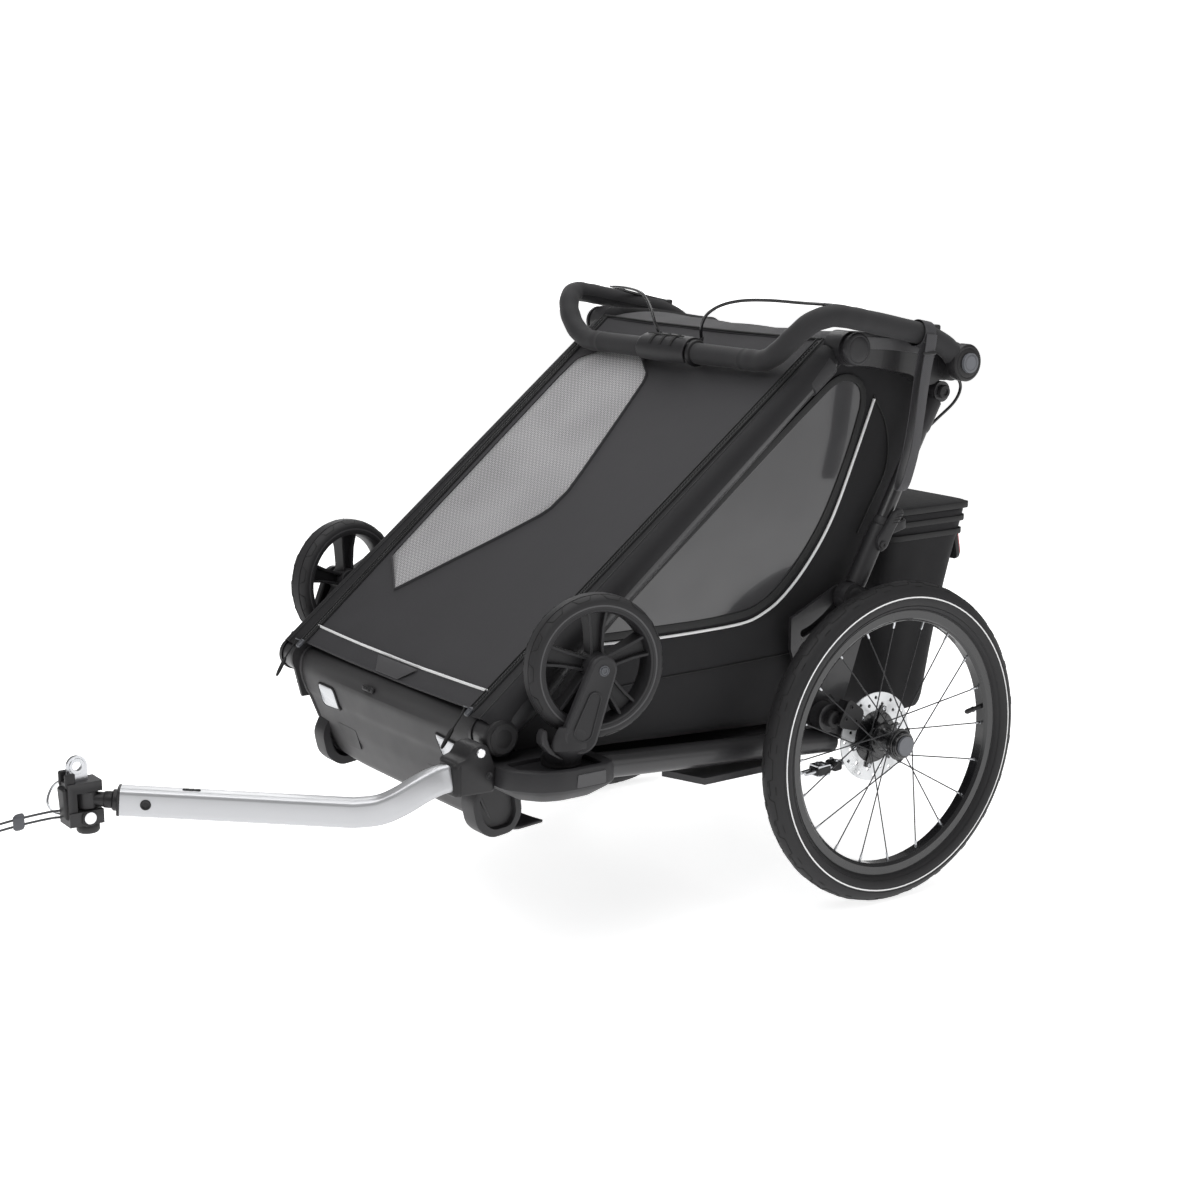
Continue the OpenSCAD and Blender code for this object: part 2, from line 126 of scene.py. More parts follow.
def grid(rows, wrap_rows=False, wrap_columns=False):
    rows = np.asarray(rows, float)
    n, m = rows.shape[:2]
    faces = []
    for i in range(n if wrap_rows else n - 1):
        for j in range(m if wrap_columns else m - 1):
            i2, j2 = (i + 1) % n, (j + 1) % m
            faces.append((i * m + j, i * m + j2, i2 * m + j2, i2 * m + j))
    return rows.reshape(-1, 3), faces


def loft(rings):
    """Closed rings of equal point counts, joined and capped."""
    verts, faces = grid(rings, wrap_columns=True)
    m, last = len(rings[0]), (len(rings) - 1) * len(rings[0])
    return verts, faces + [tuple(range(m))[::-1], tuple(last + k for k in range(m))]


def merged(parts):
    verts, faces, count = [], [], 0
    for v, f in parts:
        verts.append(np.asarray(v, float))
        faces += [tuple(i + count for i in face) for face in f]
        count += len(v)
    return np.vstack(verts), faces


def sweep(path, ring, closed=False):
    """A ring carried along a path. ring is (m, 2) points, or one such ring for each point."""
    p = np.asarray(path, float)
    ahead = np.roll(p, -1, 0) - np.roll(p, 1, 0) if closed else np.gradient(p, axis=0)
    along = ahead / np.linalg.norm(ahead, axis=1)[:, None]
    up = np.array([0.0, 0.0, 1.0]) if abs(along[0][2]) < 0.95 else np.array([0.0, 1.0, 0.0])
    rings = []
    for i, (point, t) in enumerate(zip(p, along)):
        up = unit(up - t * (up @ t))
        side = np.cross(up, t)
        shape = np.asarray(ring[i] if np.ndim(ring) == 3 else ring, float)
        rings.append(point + shape[:, :1] * side + shape[:, 1:] * up)
    return grid(rings, wrap_rows=True, wrap_columns=True) if closed else loft(rings)


def circle(r, n=14):
    a = np.linspace(0, 2 * math.pi, n, endpoint=False)
    return np.stack([r * np.cos(a), r * np.sin(a)], 1)


def tube(path, r, sides=14, closed=False):
    radii = np.broadcast_to(np.asarray(r, float), (len(path),))
    return sweep(path, np.array([circle(x, sides) for x in radii]), closed)


def ribbon(path, width, thick, closed=False):
    ring = rounded([[width / 2, -thick / 2], [width / 2, thick / 2], [-width / 2, thick / 2],
                    [-width / 2, -thick / 2]], thick * 0.4, 2)
    return sweep(path, ring, closed)


def lathe(profile, centre, n=72, closed=False):
    """A profile of (x, radius) turned about a line along X through centre."""
    a = np.linspace(0, 2 * math.pi, n, endpoint=False)
    rings = [np.stack([np.full(n, centre[0] + x), centre[1] + r * np.cos(a), centre[2] + r * np.sin(a)], 1)
             for x, r in profile]
    return grid(rings, wrap_rows=True, wrap_columns=True) if closed else loft(rings)


def slab(outline, x0, x1):
    """A side view outline of (Y, Z), given depth along X."""
    o = np.asarray(outline, float)
    return loft([np.column_stack([np.full(len(o), x), o]) for x in (x0, x1)])


def level(outline, z):
    return np.column_stack([np.asarray(outline, float), np.full(len(outline), z)])


def block(centre, size, r=1.5):
    """A block with rounded corners in plan and chamfered top and bottom."""
    w, d, h = np.asarray(size, float) / 2
    plan = rounded([[-w, -d], [w, -d], [w, d], [-w, d]], 2 * r)
    rings = [level(inset(plan, r if abs(z) > h - r / 2 else 0), z) for z in (-h, r - h, h - r, h)]
    verts, faces = loft(rings)
    return verts + np.asarray(centre, float), faces


def turned(part, angle, axis, about=(0, 0, 0)):
    verts, faces = part
    m = np.array(Matrix.Rotation(angle, 3, axis))
    return (verts - about) @ m.T + about, faces


def moved(part, by):
    return part[0] + np.asarray(by, float), part[1]


def sided(part, side):
    """The part on its side of the trailer: 1 is the left, -1 mirrors it to the right."""
    if side > 0:
        return part
    return part[0] * (-1, 1, 1), [f[::-1] for f in part[1]]


def piece(name, part, finish, body=None, bevel=0.0, subdivide=0, solid=0.0, crisp=35.0):
    """Makes a mesh piece of a part, with its finish, and lets it ride on a body."""
    mesh = bpy.data.meshes.new(name)
    mesh.from_pydata(place(part[0]).tolist(), [], [list(f) for f in part[1]])
    mesh.materials.append(finish)
    mesh.shade_smooth()
    mesh.set_sharp_from_angle(angle=math.radians(crisp))
    obj = bpy.data.objects.new(name, mesh)
    bpy.context.scene.collection.objects.link(obj)
    if solid:
        m = obj.modifiers.new("thickness", "SOLIDIFY")
        m.thickness, m.offset = solid / 1000, -1.0
    if bevel:
        m = obj.modifiers.new("edges", "BEVEL")
        m.width, m.segments, m.limit_method, m.angle_limit = bevel / 1000, 3, "ANGLE", math.radians(35)
    if subdivide:
        m = obj.modifiers.new("smooth", "SUBSURF")
        m.levels = m.render_levels = subdivide
    if body:
        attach(obj, body)
    return obj


# ---------------------------------------------------------------- finishes
class Nodes:
    """Builds a material's node tree in few words."""

    def __init__(self, name):
        self.material = bpy.data.materials.new(name)
        self.material.use_nodes = True
        self.tree = self.material.node_tree
        self.shader = self.tree.nodes["Principled BSDF"]
        self.where = self.add("ShaderNodeTexCoord").outputs["Object"]

    def add(self, kind, inputs=(), **settings):
        node = self.tree.nodes.new(kind)
        for key, value in settings.items():
            setattr(node, key, value)
        for key, value in dict(inputs).items():
            if isinstance(value, bpy.types.NodeSocket):
                self.tree.links.new(value, node.inputs[key])
            else:
                node.inputs[key].default_value = value
        return node

    def noise(self, size, detail=2.0, where=None):
        made = self.add("ShaderNodeTexNoise",
                        {"Vector": where or self.where, "Scale": 1000 / size, "Detail": detail})
        return made.outputs["Fac"]

    def stretched(self, scale):
        return self.add("ShaderNodeMapping", {"Vector": self.where, "Scale": scale}).outputs["Vector"]

    def waves(self, size, direction, where=None):
        made = self.add("ShaderNodeTexWave",
                        {"Vector": where or self.where, "Scale": 314 / size, "Distortion": 0.0},
                        bands_direction=direction)
        return made.outputs["Fac"]

    def math(self, operation, a, b=0.0, c=0.0):
        made = self.add("ShaderNodeMath", {0: a, 1: b, 2: c}, operation=operation)
        return made.outputs[0]

    def mix(self, share, a, b):
        made = self.add("ShaderNodeMix", {"Factor": share, "A": a, "B": b}, data_type="RGBA")
        return made.outputs["Result"]


def pattern_of(n, pattern, size):
    """The height of a surface's fine pattern, from 0 to 1."""
    if pattern == "weave":
        return n.math("MULTIPLY", n.waves(size, "X"), n.waves(size, "Z"))
    if pattern == "ribs":
        lean = n.add("ShaderNodeMapping", {"Vector": n.where, "Rotation": (0.7, 0.5, 0.4)}).outputs["Vector"]
        return n.math("MULTIPLY", n.waves(size, "X", lean), n.noise(size * 1.5))
    if pattern == "cloth":
        return n.math("MULTIPLY", n.waves(size, "Y"), n.waves(size, "Z"))
    if pattern == "web":
        return n.math("MAXIMUM", n.waves(size, "DIAGONAL"), n.math("MULTIPLY", n.waves(size * 2, "Z"), 0.5))
    if pattern == "brushed":
        return n.noise(size, 3.0, n.stretched((0.04, 1.0, 1.0)))
    if pattern == "drawn":
        return n.noise(size, 3.0, n.stretched((1.0, 0.05, 1.0)))
    if pattern == "foam":
        made = n.add("ShaderNodeTexVoronoi", {"Vector": n.where, "Scale": 1000 / size})
        return made.outputs["Distance"]
    return n.noise(size, 3.0)


def finish(name, colour, rough, pattern="grain", size=0.6, depth=0.05, vary=0.15, metal=0.0, wear=0.0,
           **shader):
    """A material with a fine pattern, uneven colour and gloss, and paler worn edges."""
    n = Nodes(name)
    height = pattern_of(n, pattern, size)
    cloudy = n.noise(45.0, 4.0)
    dark = [c * (1 - vary) for c in colour] + [1]
    pale = [c * (1 + vary) for c in colour] + [1]
    share = n.math("MULTIPLY_ADD", height, 0.45, n.math("MULTIPLY", cloudy, 0.55))
    tint = n.mix(share, dark, pale)
    if wear:
        edge = n.add("ShaderNodeNewGeometry").outputs["Pointiness"]
        edge = n.add("ShaderNodeMapRange",
                     {"Value": edge, "From Min": 0.515, "From Max": 0.6, "To Max": wear})
        worn = [min(1.0, c * 2.6 + 0.03) for c in colour] + [1]
        tint = n.mix(edge.outputs["Result"], tint, worn)
    n.tree.links.new(tint, n.shader.inputs["Base Color"])
    gloss = n.math("MULTIPLY_ADD", cloudy, 0.18, rough - 0.09)
    n.tree.links.new(gloss, n.shader.inputs["Roughness"])
    bump = n.add("ShaderNodeBump", {"Height": height, "Strength": 0.6, "Distance": depth / 1000})
    n.tree.links.new(bump.outputs["Normal"], n.shader.inputs["Normal"])
    n.shader.inputs["Metallic"].default_value = metal
    for key, value in shader.items():
        n.shader.inputs[key.replace("_", " ")].default_value = value
    return n.material


def window_mesh():
    """Pale knitted mesh: offset rows of small dark holes between light threads."""
    n = Nodes("window_mesh")
    lean = n.add("ShaderNodeMapping", {"Vector": n.where, "Rotation": (-0.674, 0, 0)}).outputs["Vector"]
    across = n.waves(4.6, "X", lean)
    along = n.waves(5.4, "Y", lean)
    offset = n.waves(4.6, "DIAGONAL", lean)
    holes = n.math("MULTIPLY", n.math("MAXIMUM", across, offset), n.math("MAXIMUM", along, across))
    cloudy = n.noise(120.0, 2.0)
    tint = n.mix(n.math("MULTIPLY_ADD", cloudy, 0.35, n.math("MULTIPLY", holes, 0.75)),
                 (0.06, 0.059, 0.061, 1), (0.46, 0.455, 0.465, 1))
    n.tree.links.new(tint, n.shader.inputs["Base Color"])
    bump = n.add("ShaderNodeBump", {"Height": holes, "Strength": 0.5, "Distance": 0.0006})
    n.tree.links.new(bump.outputs["Normal"], n.shader.inputs["Normal"])
    n.shader.inputs["Roughness"].default_value = 0.62
    n.shader.inputs["Sheen Weight"].default_value = 0.15
    return n.material


def vinyl():
    """Dark tinted window film: glossy, with slow ripples that bend its reflections."""
    n = Nodes("window_vinyl")
    slow = n.noise(170.0, 2.0)
    tint = n.mix(slow, (0.03, 0.0295, 0.031, 1), (0.075, 0.074, 0.077, 1))
    n.tree.links.new(tint, n.shader.inputs["Base Color"])
    n.tree.links.new(n.math("MULTIPLY_ADD", n.noise(60.0), 0.12, 0.12), n.shader.inputs["Roughness"])
    bump = n.add("ShaderNodeBump", {"Height": n.noise(90.0, 1.0), "Strength": 0.5, "Distance": 0.004})
    n.tree.links.new(bump.outputs["Normal"], n.shader.inputs["Normal"])
    n.shader.inputs["Coat Weight"].default_value = 0.6
    n.shader.inputs["Coat Roughness"].default_value = 0.05
    return n.material


PAINT = finish("satin_paint", (0.014, 0.0135, 0.0148), 0.36, size=0.35, depth=0.012, wear=0.25,
               Coat_Weight=0.15)
BLACK = finish("moulded_black", (0.0125, 0.012, 0.013), 0.45, size=0.45, depth=0.04, wear=0.4,
               Specular_IOR_Level=0.35)
GREY = finish("moulded_charcoal", (0.018, 0.0175, 0.019), 0.48, size=0.5, depth=0.05, wear=0.4,
              Specular_IOR_Level=0.35)
BUMPER = finish("bumper_plastic", (0.042, 0.041, 0.0425), 0.52, size=0.6, depth=0.06, wear=0.3,
                Specular_IOR_Level=0.35)
PANEL = finish("panel_grey", (0.058, 0.057, 0.06), 0.42, size=0.4, depth=0.03)
GLOSS = finish("gloss_black", (0.009, 0.009, 0.01), 0.24, size=0.8, depth=0.01, Coat_Weight=0.4)
RUBBER = finish("tyre_rubber", (0.0165, 0.016, 0.0172), 0.6, size=0.7, depth=0.06, vary=0.2, wear=0.25,
                Specular_IOR_Level=0.35)
GROOVE = finish("groove_shadow", (0.006, 0.006, 0.006), 0.8, size=0.5, depth=0.03)
FOAM = finish("foam_grip", (0.02, 0.0195, 0.021), 0.74, "foam", size=0.9, depth=0.12, vary=0.2,
              Sheen_Weight=0.08, Specular_IOR_Level=0.35)
COVER = finish("cover_weave", (0.036, 0.035, 0.038), 0.72, "ribs", size=2.2, depth=0.2, vary=0.24,
               Sheen_Weight=0.04,
               Specular_IOR_Level=0.3)
CLOTH = finish("black_cloth", (0.0145, 0.014, 0.0155), 0.74, "cloth", size=1.2, depth=0.12, vary=0.25,
               Sheen_Weight=0.03,
               Specular_IOR_Level=0.3)
TRIM = finish("black_binding", (0.0085, 0.0085, 0.009), 0.6, "cloth", size=1.0, depth=0.1, vary=0.2)
PAD = finish("seat_fabric", (0.052, 0.051, 0.056), 0.82, "weave", size=1.8, depth=0.2, vary=0.22,
             Sheen_Weight=0.2)
WEB = finish("strap_webbing", (0.047, 0.046, 0.05), 0.6, "web", size=1.6, depth=0.25, vary=0.3)
SILVER = finish("anodised_aluminium", (0.5, 0.505, 0.52), 0.34, "drawn", size=0.8, depth=0.015, vary=0.05,
                metal=0.6)
STEEL = finish("brushed_steel", (0.56, 0.57, 0.59), 0.28, "brushed", size=0.7, depth=0.02, vary=0.12,
               metal=1.0)
DISC = finish("ground_disc", (0.66, 0.67, 0.68), 0.3, "grain", size=0.9, depth=0.02, vary=0.1, metal=0.8)
SPOKE = finish("spoke_black", (0.03, 0.03, 0.032), 0.3, size=0.6, depth=0.01, metal=0.5)
WHITE = finish("reflective_white", (0.86, 0.86, 0.86), 0.35, "cloth", size=0.8, depth=0.02, vary=0.04)
BUTTON = finish("button_grey", (0.085, 0.088, 0.098), 0.45, size=0.4, depth=0.02, wear=0.3)
BRIGHT = finish("bright_button", (0.82, 0.82, 0.84), 0.16, size=0.8, depth=0.008, vary=0.05, metal=0.7)
LENS = finish("reflector_clear", (0.62, 0.63, 0.65), 0.14, "weave", size=3.0, depth=0.35, vary=0.25,
              metal=0.35)
RED = finish("reflector_red", (0.42, 0.012, 0.02), 0.18, "weave", size=3.0, depth=0.3, vary=0.2,
             Coat_Weight=0.5)
CORD = finish("braided_cord", (0.055, 0.056, 0.06), 0.7, "web", size=0.9, depth=0.15, vary=0.3)
MESH = window_mesh()
VINYL = vinyl()


# ---------------------------------------------------------------- camera, light and floor
def studio():
    scene = bpy.context.scene
    lens = bpy.data.cameras.new("camera")
    lens.lens, lens.sensor_width = 62.61, 36
    camera = bpy.data.objects.new("camera", lens)
    camera.location = place((2625, -2146, 1135)).tolist()
    camera.rotation_euler = (math.radians(90 - 12.134), 0, math.radians(54.709))
    scene.collection.objects.link(camera)
    scene.camera = camera
    lights = (("key", (900, -1900, 2900), 1.9, 34), ("top", (-300, 200, 3100), 2.6, 46),
              ("rim", (-2600, 900, 1700), 1.6, 20), ("side", (3200, 1200, 1500), 1.8, 13))
    for name, at, size, power in lights:
        data = bpy.data.lights.new(name, "AREA")
        data.size, data.energy = size, power
        lamp = bpy.data.objects.new(name, data)
        lamp.location = place(at).tolist()
        aim = Vector((0, AXLE_Y - 0.3, 0.45)) - lamp.location
        lamp.rotation_euler = aim.to_track_quat("-Z", "Y").to_euler()
        scene.collection.objects.link(lamp)
    world = bpy.data.worlds.new("studio")
    world.use_nodes = True
    world.node_tree.nodes["Background"].inputs["Color"].default_value = (1, 1, 1, 1)
    world.node_tree.nodes["Background"].inputs["Strength"].default_value = 0.26
    scene.world = world
    scene.view_settings.view_transform = "Standard"
    a = 40000.0
    floor = piece("studio_floor", grid([[[-a, -a, -0.2], [-a, a, -0.2]], [[a, -a, -0.2], [a, a, -0.2]]]),
                  finish("pale_floor", (0.88, 0.88, 0.885), 0.7, size=30.0, depth=0.01, vary=0.01,
                         Emission_Color=(1, 1, 1, 1), Emission_Strength=0.78))
    across = np.array([math.cos(math.radians(54.709)), math.sin(math.radians(54.709)), 0]) * 20000
    back = np.array([-across[1], across[0], 0]) * 0.6
    wall = piece("studio_wall", grid([[back - across - (0, 0, 10), back + across - (0, 0, 10)],
                                      [back - across + (0, 0, 20000), back + across + (0, 0, 20000)]]),
                 finish("white_wall", (0.9, 0.9, 0.9), 0.8, size=30.0, depth=0.01, vary=0.01,
                        Emission_Color=(1, 1, 1, 1), Emission_Strength=1.0))
    wall.visible_diffuse = wall.visible_glossy = wall.visible_shadow = False


studio()


# ---------------------------------------------------------------- safety cord
CORD_ROUTE = [
    [70, -1205.3, 286], [66, -1216, 286], [58, -1236, 283], [50, -1258, 279],
    [42, -1280, 274], [34, -1302, 269], [26, -1324, 263], [18, -1346, 257],
]


def slider():
    at = np.array(CORD_ROUTE[3], float) + (0, 0, -4.5)
    along = unit(np.array(CORD_ROUTE[4], float) - CORD_ROUTE[2])
    rings = []
    for step, scale in ((-8, 0.7), (-6, 0.95), (-1, 1.0), (4, 0.95), (7, 0.7)):
        outline = rounded([[-5.5, -11], [5.5, -11], [5.5, 11], [-5.5, 11]], 4) * scale
        side = unit(np.cross(along, (0, 0, 1)))
        rings.append(at + step * along + outline[:, :1] * side + outline[:, 1:] * np.array([0, 0, 1.0]))
    made = piece("cord_slider_body", loft(rings), BUTTON, "hitch_body")
    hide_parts("cord_slider")
    return made


def safety_cord():
    held = slider()
    for k, name in enumerate(("upper", "lower")):
        route = smooth(CORD_ROUTE, 5) - (0, 0, 9 * k)
        cord = piece(f"safety_cord_{name}", tube(route, 1.6, 10), CORD, "hitch_body")
        end = route[-1]
        knot = [[0, 2.5, 1.5], [2.6, 1, -1], [1, -2, -2.4], [-2.4, -2, 0], [-1.6, 1, 2.4], [1.4, 0, 2.6]]
        tie = piece(f"cord_knot_{name}", tube(smooth(np.array(knot) + end, 4), 1.7, 8, closed=True), CORD,
                    "hitch_body")
        if k == 0:
            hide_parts("safety_cord")


safety_cord()


# ---------------------------------------------------------------- front cover and canopy
COVER_LOW = np.array([-654.0, 403.0])
COVER_HIGH = np.array([-80.0, 862.0])
COVER_UP = unit(np.array([0, *(COVER_HIGH - COVER_LOW)]))
COVER_OUT = np.cross([1.0, 0, 0], COVER_UP)


def cover_half(s):
    return 251 + 23 * s


def cover_at(x, s, lift=0.0):
    """A place on the front cover: s is 0 at its white strip and 1 at the canopy's seam."""
    u = x / cover_half(s)
    dip = (9 - 6 * min(max(s, 0), 1)) * (1 - min(u * u, 1))
    crease = 0.9 * math.sin(9 * s + 3 * u) * math.cos(5 * u - 2 * s) * (1 - u * u)
    yz = COVER_LOW + s * (COVER_HIGH - COVER_LOW)
    out = COVER_OUT * (lift - dip - crease)
    return np.array([x, *yz]) + out


def front_cover():
    steps = np.linspace(-0.045, 1.0, 46)
    rows = [[cover_at(x, s) for x in np.linspace(-1, 1, 33) * cover_half(s)] for s in steps]
    hem = np.array(rows[0]) + (0, 2.5, -3.5)
    cloth = piece("front_cover_cloth", grid([hem, *rows]), COVER, "upper_frame",
                  solid=1.6, subdivide=1)
    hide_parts("front_cover")
    strip = [cover_at(x, 0.0, 1.6) for x in np.linspace(-249, 249, 40)]
    white = piece("cover_strip", ribbon(strip, 1.0, 4.2), WHITE, "upper_frame")
    tab_top, tab_low = -0.008, -0.043
    tab = [[cover_at(x, tab_top, 2.2) for x in np.linspace(-58, 58, 9)],
           [cover_at(x, tab_low, 2.2) for x in np.linspace(-31, 31, 9)]]
    patch = piece("cover_tab", grid(tab), PANEL, "upper_frame", solid=1.6, bevel=0.5)
    # The mesh window is drawn only over the part of the cover where the mesh shows pale; to its right the
    # dark cover cloth stands where the same mesh lies in shade: painted shade.
    left = resample([(-159, .146), (-238, .222), (-247, .853), (-207, .893), (-156, .918)], 40)
    right = resample([(-159, .146), (0, .40), (20, .43), (30, .47), (24, .52), (-34, .839), (-103, .903),
                      (-156, .918)], 40)
    rows = [[cover_at(*(a + t * (b - a)), 1.3) for t in np.linspace(0, 1, 16)] for a, b in zip(left, right)]
    net = piece("cover_window", grid(rows), MESH, "upper_frame", solid=0.5)
    border = [cover_at(*p, 1.6) for p in np.vstack([left, right[::-1]])]
    welt = piece("cover_window_binding", ribbon(resample(border, 150), 2.4, 4.5, closed=True), COVER,
                 "upper_frame")


def zips():
    """A zip down each side of the cover, with its tape, teeth, slider and cord pull."""
    for name, side in SIDES:
        line = np.array([cover_at(cover_half(s) + 1.0, s, 2.0) for s in np.linspace(-0.05, 1.0, 60)])
        tape = ribbon(line + COVER_OUT * -1.2, 17, 1.4)
        edges = [tube(line + (dx, 0, 0), 1.25, 8) for dx in (-6.5, 6.5)]
        teeth = []
        for k, at in enumerate(resample(line, 240)[3:-3]):
            teeth.append(moved(block((0.9 if k % 2 else -0.9, 0, 0), (3.4, 1.5, 1.6), 0.35),
                               at + COVER_OUT * 0.3))
        piece(f"zip_tape_{name}", sided(merged([tape, *edges]), side), TRIM, "upper_frame")
        piece(f"zip_teeth_{name}", sided(merged(teeth), side), GLOSS, "upper_frame")
        at = line[0] + (0, -3, -2)
        body = turned(block(at, (9, 15, 6), 1.6), 0.67, "X", at)
        loop = tube(smooth([at + (-3, 4, 3), at + (-3, -6, 8), at + (3, -6, 8), at + (3, 4, 3)], 5), 0.9, 8)
        piece(f"zip_slider_{name}", sided(merged([body, loop]), side), BUTTON, "upper_frame", bevel=0.4)
        hang = smooth([at + (0, -6, 8), at + (1, -16, -6), at + (0, -30, -24), at + (-2, -44, -46)], 8)
        grip = tube(smooth([hang[14], hang[-1]], 6), [1.8, 3.0, 3.2, 3.2, 3.0, 2.6, 1.6], 10)
        piece(f"zip_pull_{name}", sided(merged([tube(hang, 1.3, 8), grip]), side), TRIM, "upper_frame")


def canopy():
    """The roof sheet: from the cover's seam over the frame to the rear crossbar, rolled down at its sides."""
    spine = smooth([(-84, 860), (-74, 865), (-40, 869), (10, 868), (70, 858), (122, 842), (134, 830)], 5)
    rows = []
    for k, (y, z) in enumerate(spine):
        share = k / (len(spine) - 1)
        half = 280 - 10 * share
        row = []
        for u in np.linspace(-1, 1, 41):
            drop = 16 * max(0, (abs(u) - 0.93) / 0.07) ** 1.6
            dip = (2.5 + 4 * math.sin(math.pi * share)) * (1 - u * u)
            ripple = 0.8 * math.sin(14 * u + 4 * share) * math.sin(math.pi * share)
            row.append((half * u, y, z - drop - dip + ripple))
        rows.append(row)
    roof = piece("canopy_cloth", grid(rows), COVER, "upper_frame", solid=1.8, subdivide=1)
    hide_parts("canopy")
    seam = [(x, -81, 862.5 - 3 * (1 - (x / 278) ** 2)) for x in np.linspace(-277, 277, 40)]
    lip = piece("canopy_seam", tube(seam, 2.4, 10), TRIM, "upper_frame")
    rear = [(x, 134, 828 - 2.5 * (1 - (x / 268) ** 2)) for x in np.linspace(-268, 268, 40)]
    hem = piece("canopy_hem", tube(rear, 3.0, 10), TRIM, "upper_frame")


# ---------------------------------------------------------------- side panels
TOP_EDGE = [(-640, 352), (-628, 376), (-470, 505), (-300, 640), (-140, 768), (-58, 824), (0, 830), (60, 820),
            (122, 796)]
LOW_EDGE = [(-636, 338), (-600, 306), (-460, 300), (-300, 290), (-130, 282), (-30, 288), (-22, 420), (6, 496),
            (68, 600), (132, 724), (126, 790)]


def side_x(y, z):
    """How far out the side cloth stands: it bellies a little between the tube and the rail."""
    return 267.5 + 4.5 * math.sin(math.pi * min(max((y + 620) / 700, 0), 1)) * math.sin(
        math.pi * min(max((z - 290) / 520, 0), 1))


def fan(obj):
    """Bakes the piece's placement into its mesh."""
    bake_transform(obj)
    return obj


def side_sheet(top, low, lift, across=22, along=44):
    """A sheet between an upper and a lower line of the side view."""
    a, b = resample(smooth(top, 5), along), resample(smooth(low, 5), along)
    rows = []
    for p, q in zip(a, b):
        rows.append([(side_x(*(p + t * (q - p))) + lift, *(p + t * (q - p)))
                     for t in np.linspace(0, 1, across)])
    return grid(rows)


def on_side(points, lift, n=60):
    return np.array([(side_x(y, z) + lift, y, z) for y, z in resample(smooth(points, 6), n)])


def side_panels():
    piping = [(34, 765), (-2, 684), (-48, 589), (-96, 524), (-144, 479), (-182, 458), (-221, 448),
              (-300, 446),
              (-397, 447), (-500, 452)]
    glass_top = [(-486, 462), (-420, 518), (-300, 611), (-190, 694), (-90, 768), (-44, 798), (-12, 800),
                 (8, 786),
                 (12, 768)]
    glass_low = [(-486, 460), (-440, 459), (-397, 459), (-300, 458), (-222, 461), (-186, 471), (-152, 491),
                 (-106, 535), (-60, 597), (-16, 684), (10, 752)]
    for name, side in SIDES:
        cloth = fan(piece(f"side_cloth_{name}", sided(side_sheet(TOP_EDGE, LOW_EDGE, 0), side), CLOTH,
                          solid=1.5))
        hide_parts(f"side_panel_{name}")
        glass = fan(piece(f"side_window_{name}", sided(side_sheet(glass_top, glass_low, 1.4), side), VINYL,
                          solid=0.8))
        frame_line = np.vstack([on_side(glass_top, 2.2), on_side(glass_low[::-1], 2.2)])
        rim = fan(piece(f"side_window_binding_{name}", sided(ribbon(frame_line, 2.6, 11, closed=True), side),
                        TRIM))
        white = fan(piece(f"side_piping_{name}", sided(tube(on_side(piping, 2.6), 2.1, 8), side), WHITE))
        arch = on_side([(34, 770), (58, 730), (66, 690), (60, 650), (30, 600), (6, 560)], 1.5)
        seams = merged([tube(arch, 1.2, 6),
                        tube(on_side([(-560, 372), (-420, 384), (-250, 386), (-60, 390)], 1.5), 1.0, 6),
                        tube(on_side([(-28, 400), (-34, 350), (-40, 305)], 1.5), 1.0, 6)])
        seam = fan(piece(f"side_seams_{name}", sided(seams, side), TRIM))


def tube_sleeves():
    """A fabric flap from each zip over the front tube, and the welt where it meets the side panel."""
    for name, side in SIDES:
        rows = []
        for s in np.linspace(-0.06, 0.985, 36):
            y, z = COVER_LOW + s * (COVER_HIGH - COVER_LOW)
            edge = cover_half(s) + 7
            centre = np.array([290, y, z]) - COVER_OUT * (19 - 3 * (1 - s))
            row = [np.array([edge, y, z]) + COVER_OUT * 0.5]
            for a in np.linspace(118, -28, 13):
                ring = np.array([math.cos(math.radians(a)), 0, 0]) + COVER_OUT * math.sin(math.radians(a))
                row.append(centre + ring * 19.6)
            rows.append([*row, centre + (12, 0, 0) - COVER_OUT * 16, centre - (2, 0, 0) - COVER_OUT * 20,
                         centre - (16, 0, 0) - COVER_OUT * 13])
        piece(f"tube_sleeve_{name}", sided(grid(rows), side), CLOTH, "upper_frame", solid=1.2, crisp=70)
        rows = np.array(rows)
        welt = [tube(rows[:, -3] + (0.5, 0, 0), 2.6, 10), tube(rows[:, 2], 1.2, 8)]
        piece(f"tube_welt_{name}", sided(merged(welt), side), TRIM, "upper_frame")


# ---------------------------------------------------------------- seat and cabin
VOXEL = 0.008                           # remesh size of the pads in metres
PRESSURE = 4.0                          # cloth pressure in the pads
SEAM_PULL = 0.2                         # how far a pad is drawn in at its seams
CUSHION_STEPS = [0, .02, .06, *np.linspace(.12, .44, 5), .485, .5, .515, *np.linspace(.56, .88, 5), .94, .98,
                 1]


def inflate(obj, grow, frames=20):
    """Swells a closed mesh with cloth under pressure, no point moving further than grow millimetres."""
    remesh = obj.modifiers.new("remesh", "REMESH")
    remesh.mode, remesh.voxel_size = "VOXEL", VOXEL
    bake(obj)
    before = np.array([v.co for v in obj.data.vertices])
    cloth = obj.modifiers.new("cloth", "CLOTH")
    cloth.settings.use_pressure, cloth.settings.uniform_pressure_force = True, PRESSURE
    cloth.settings.effector_weights.gravity = 0.0
    cloth.point_cache.frame_end = frames
    for k in range(1, frames + 1):
        bpy.context.scene.frame_set(k)
    bake(obj)
    after = np.array([v.co for v in obj.data.vertices])
    step = after - before
    size = np.linalg.norm(step, axis=1, keepdims=True)
    held = before + step * np.minimum(1, grow / 1000 / np.maximum(size, 1e-9))
    obj.data.vertices.foreach_set("co", held.astype(np.float32).ravel())
    bpy.context.scene.frame_set(1)


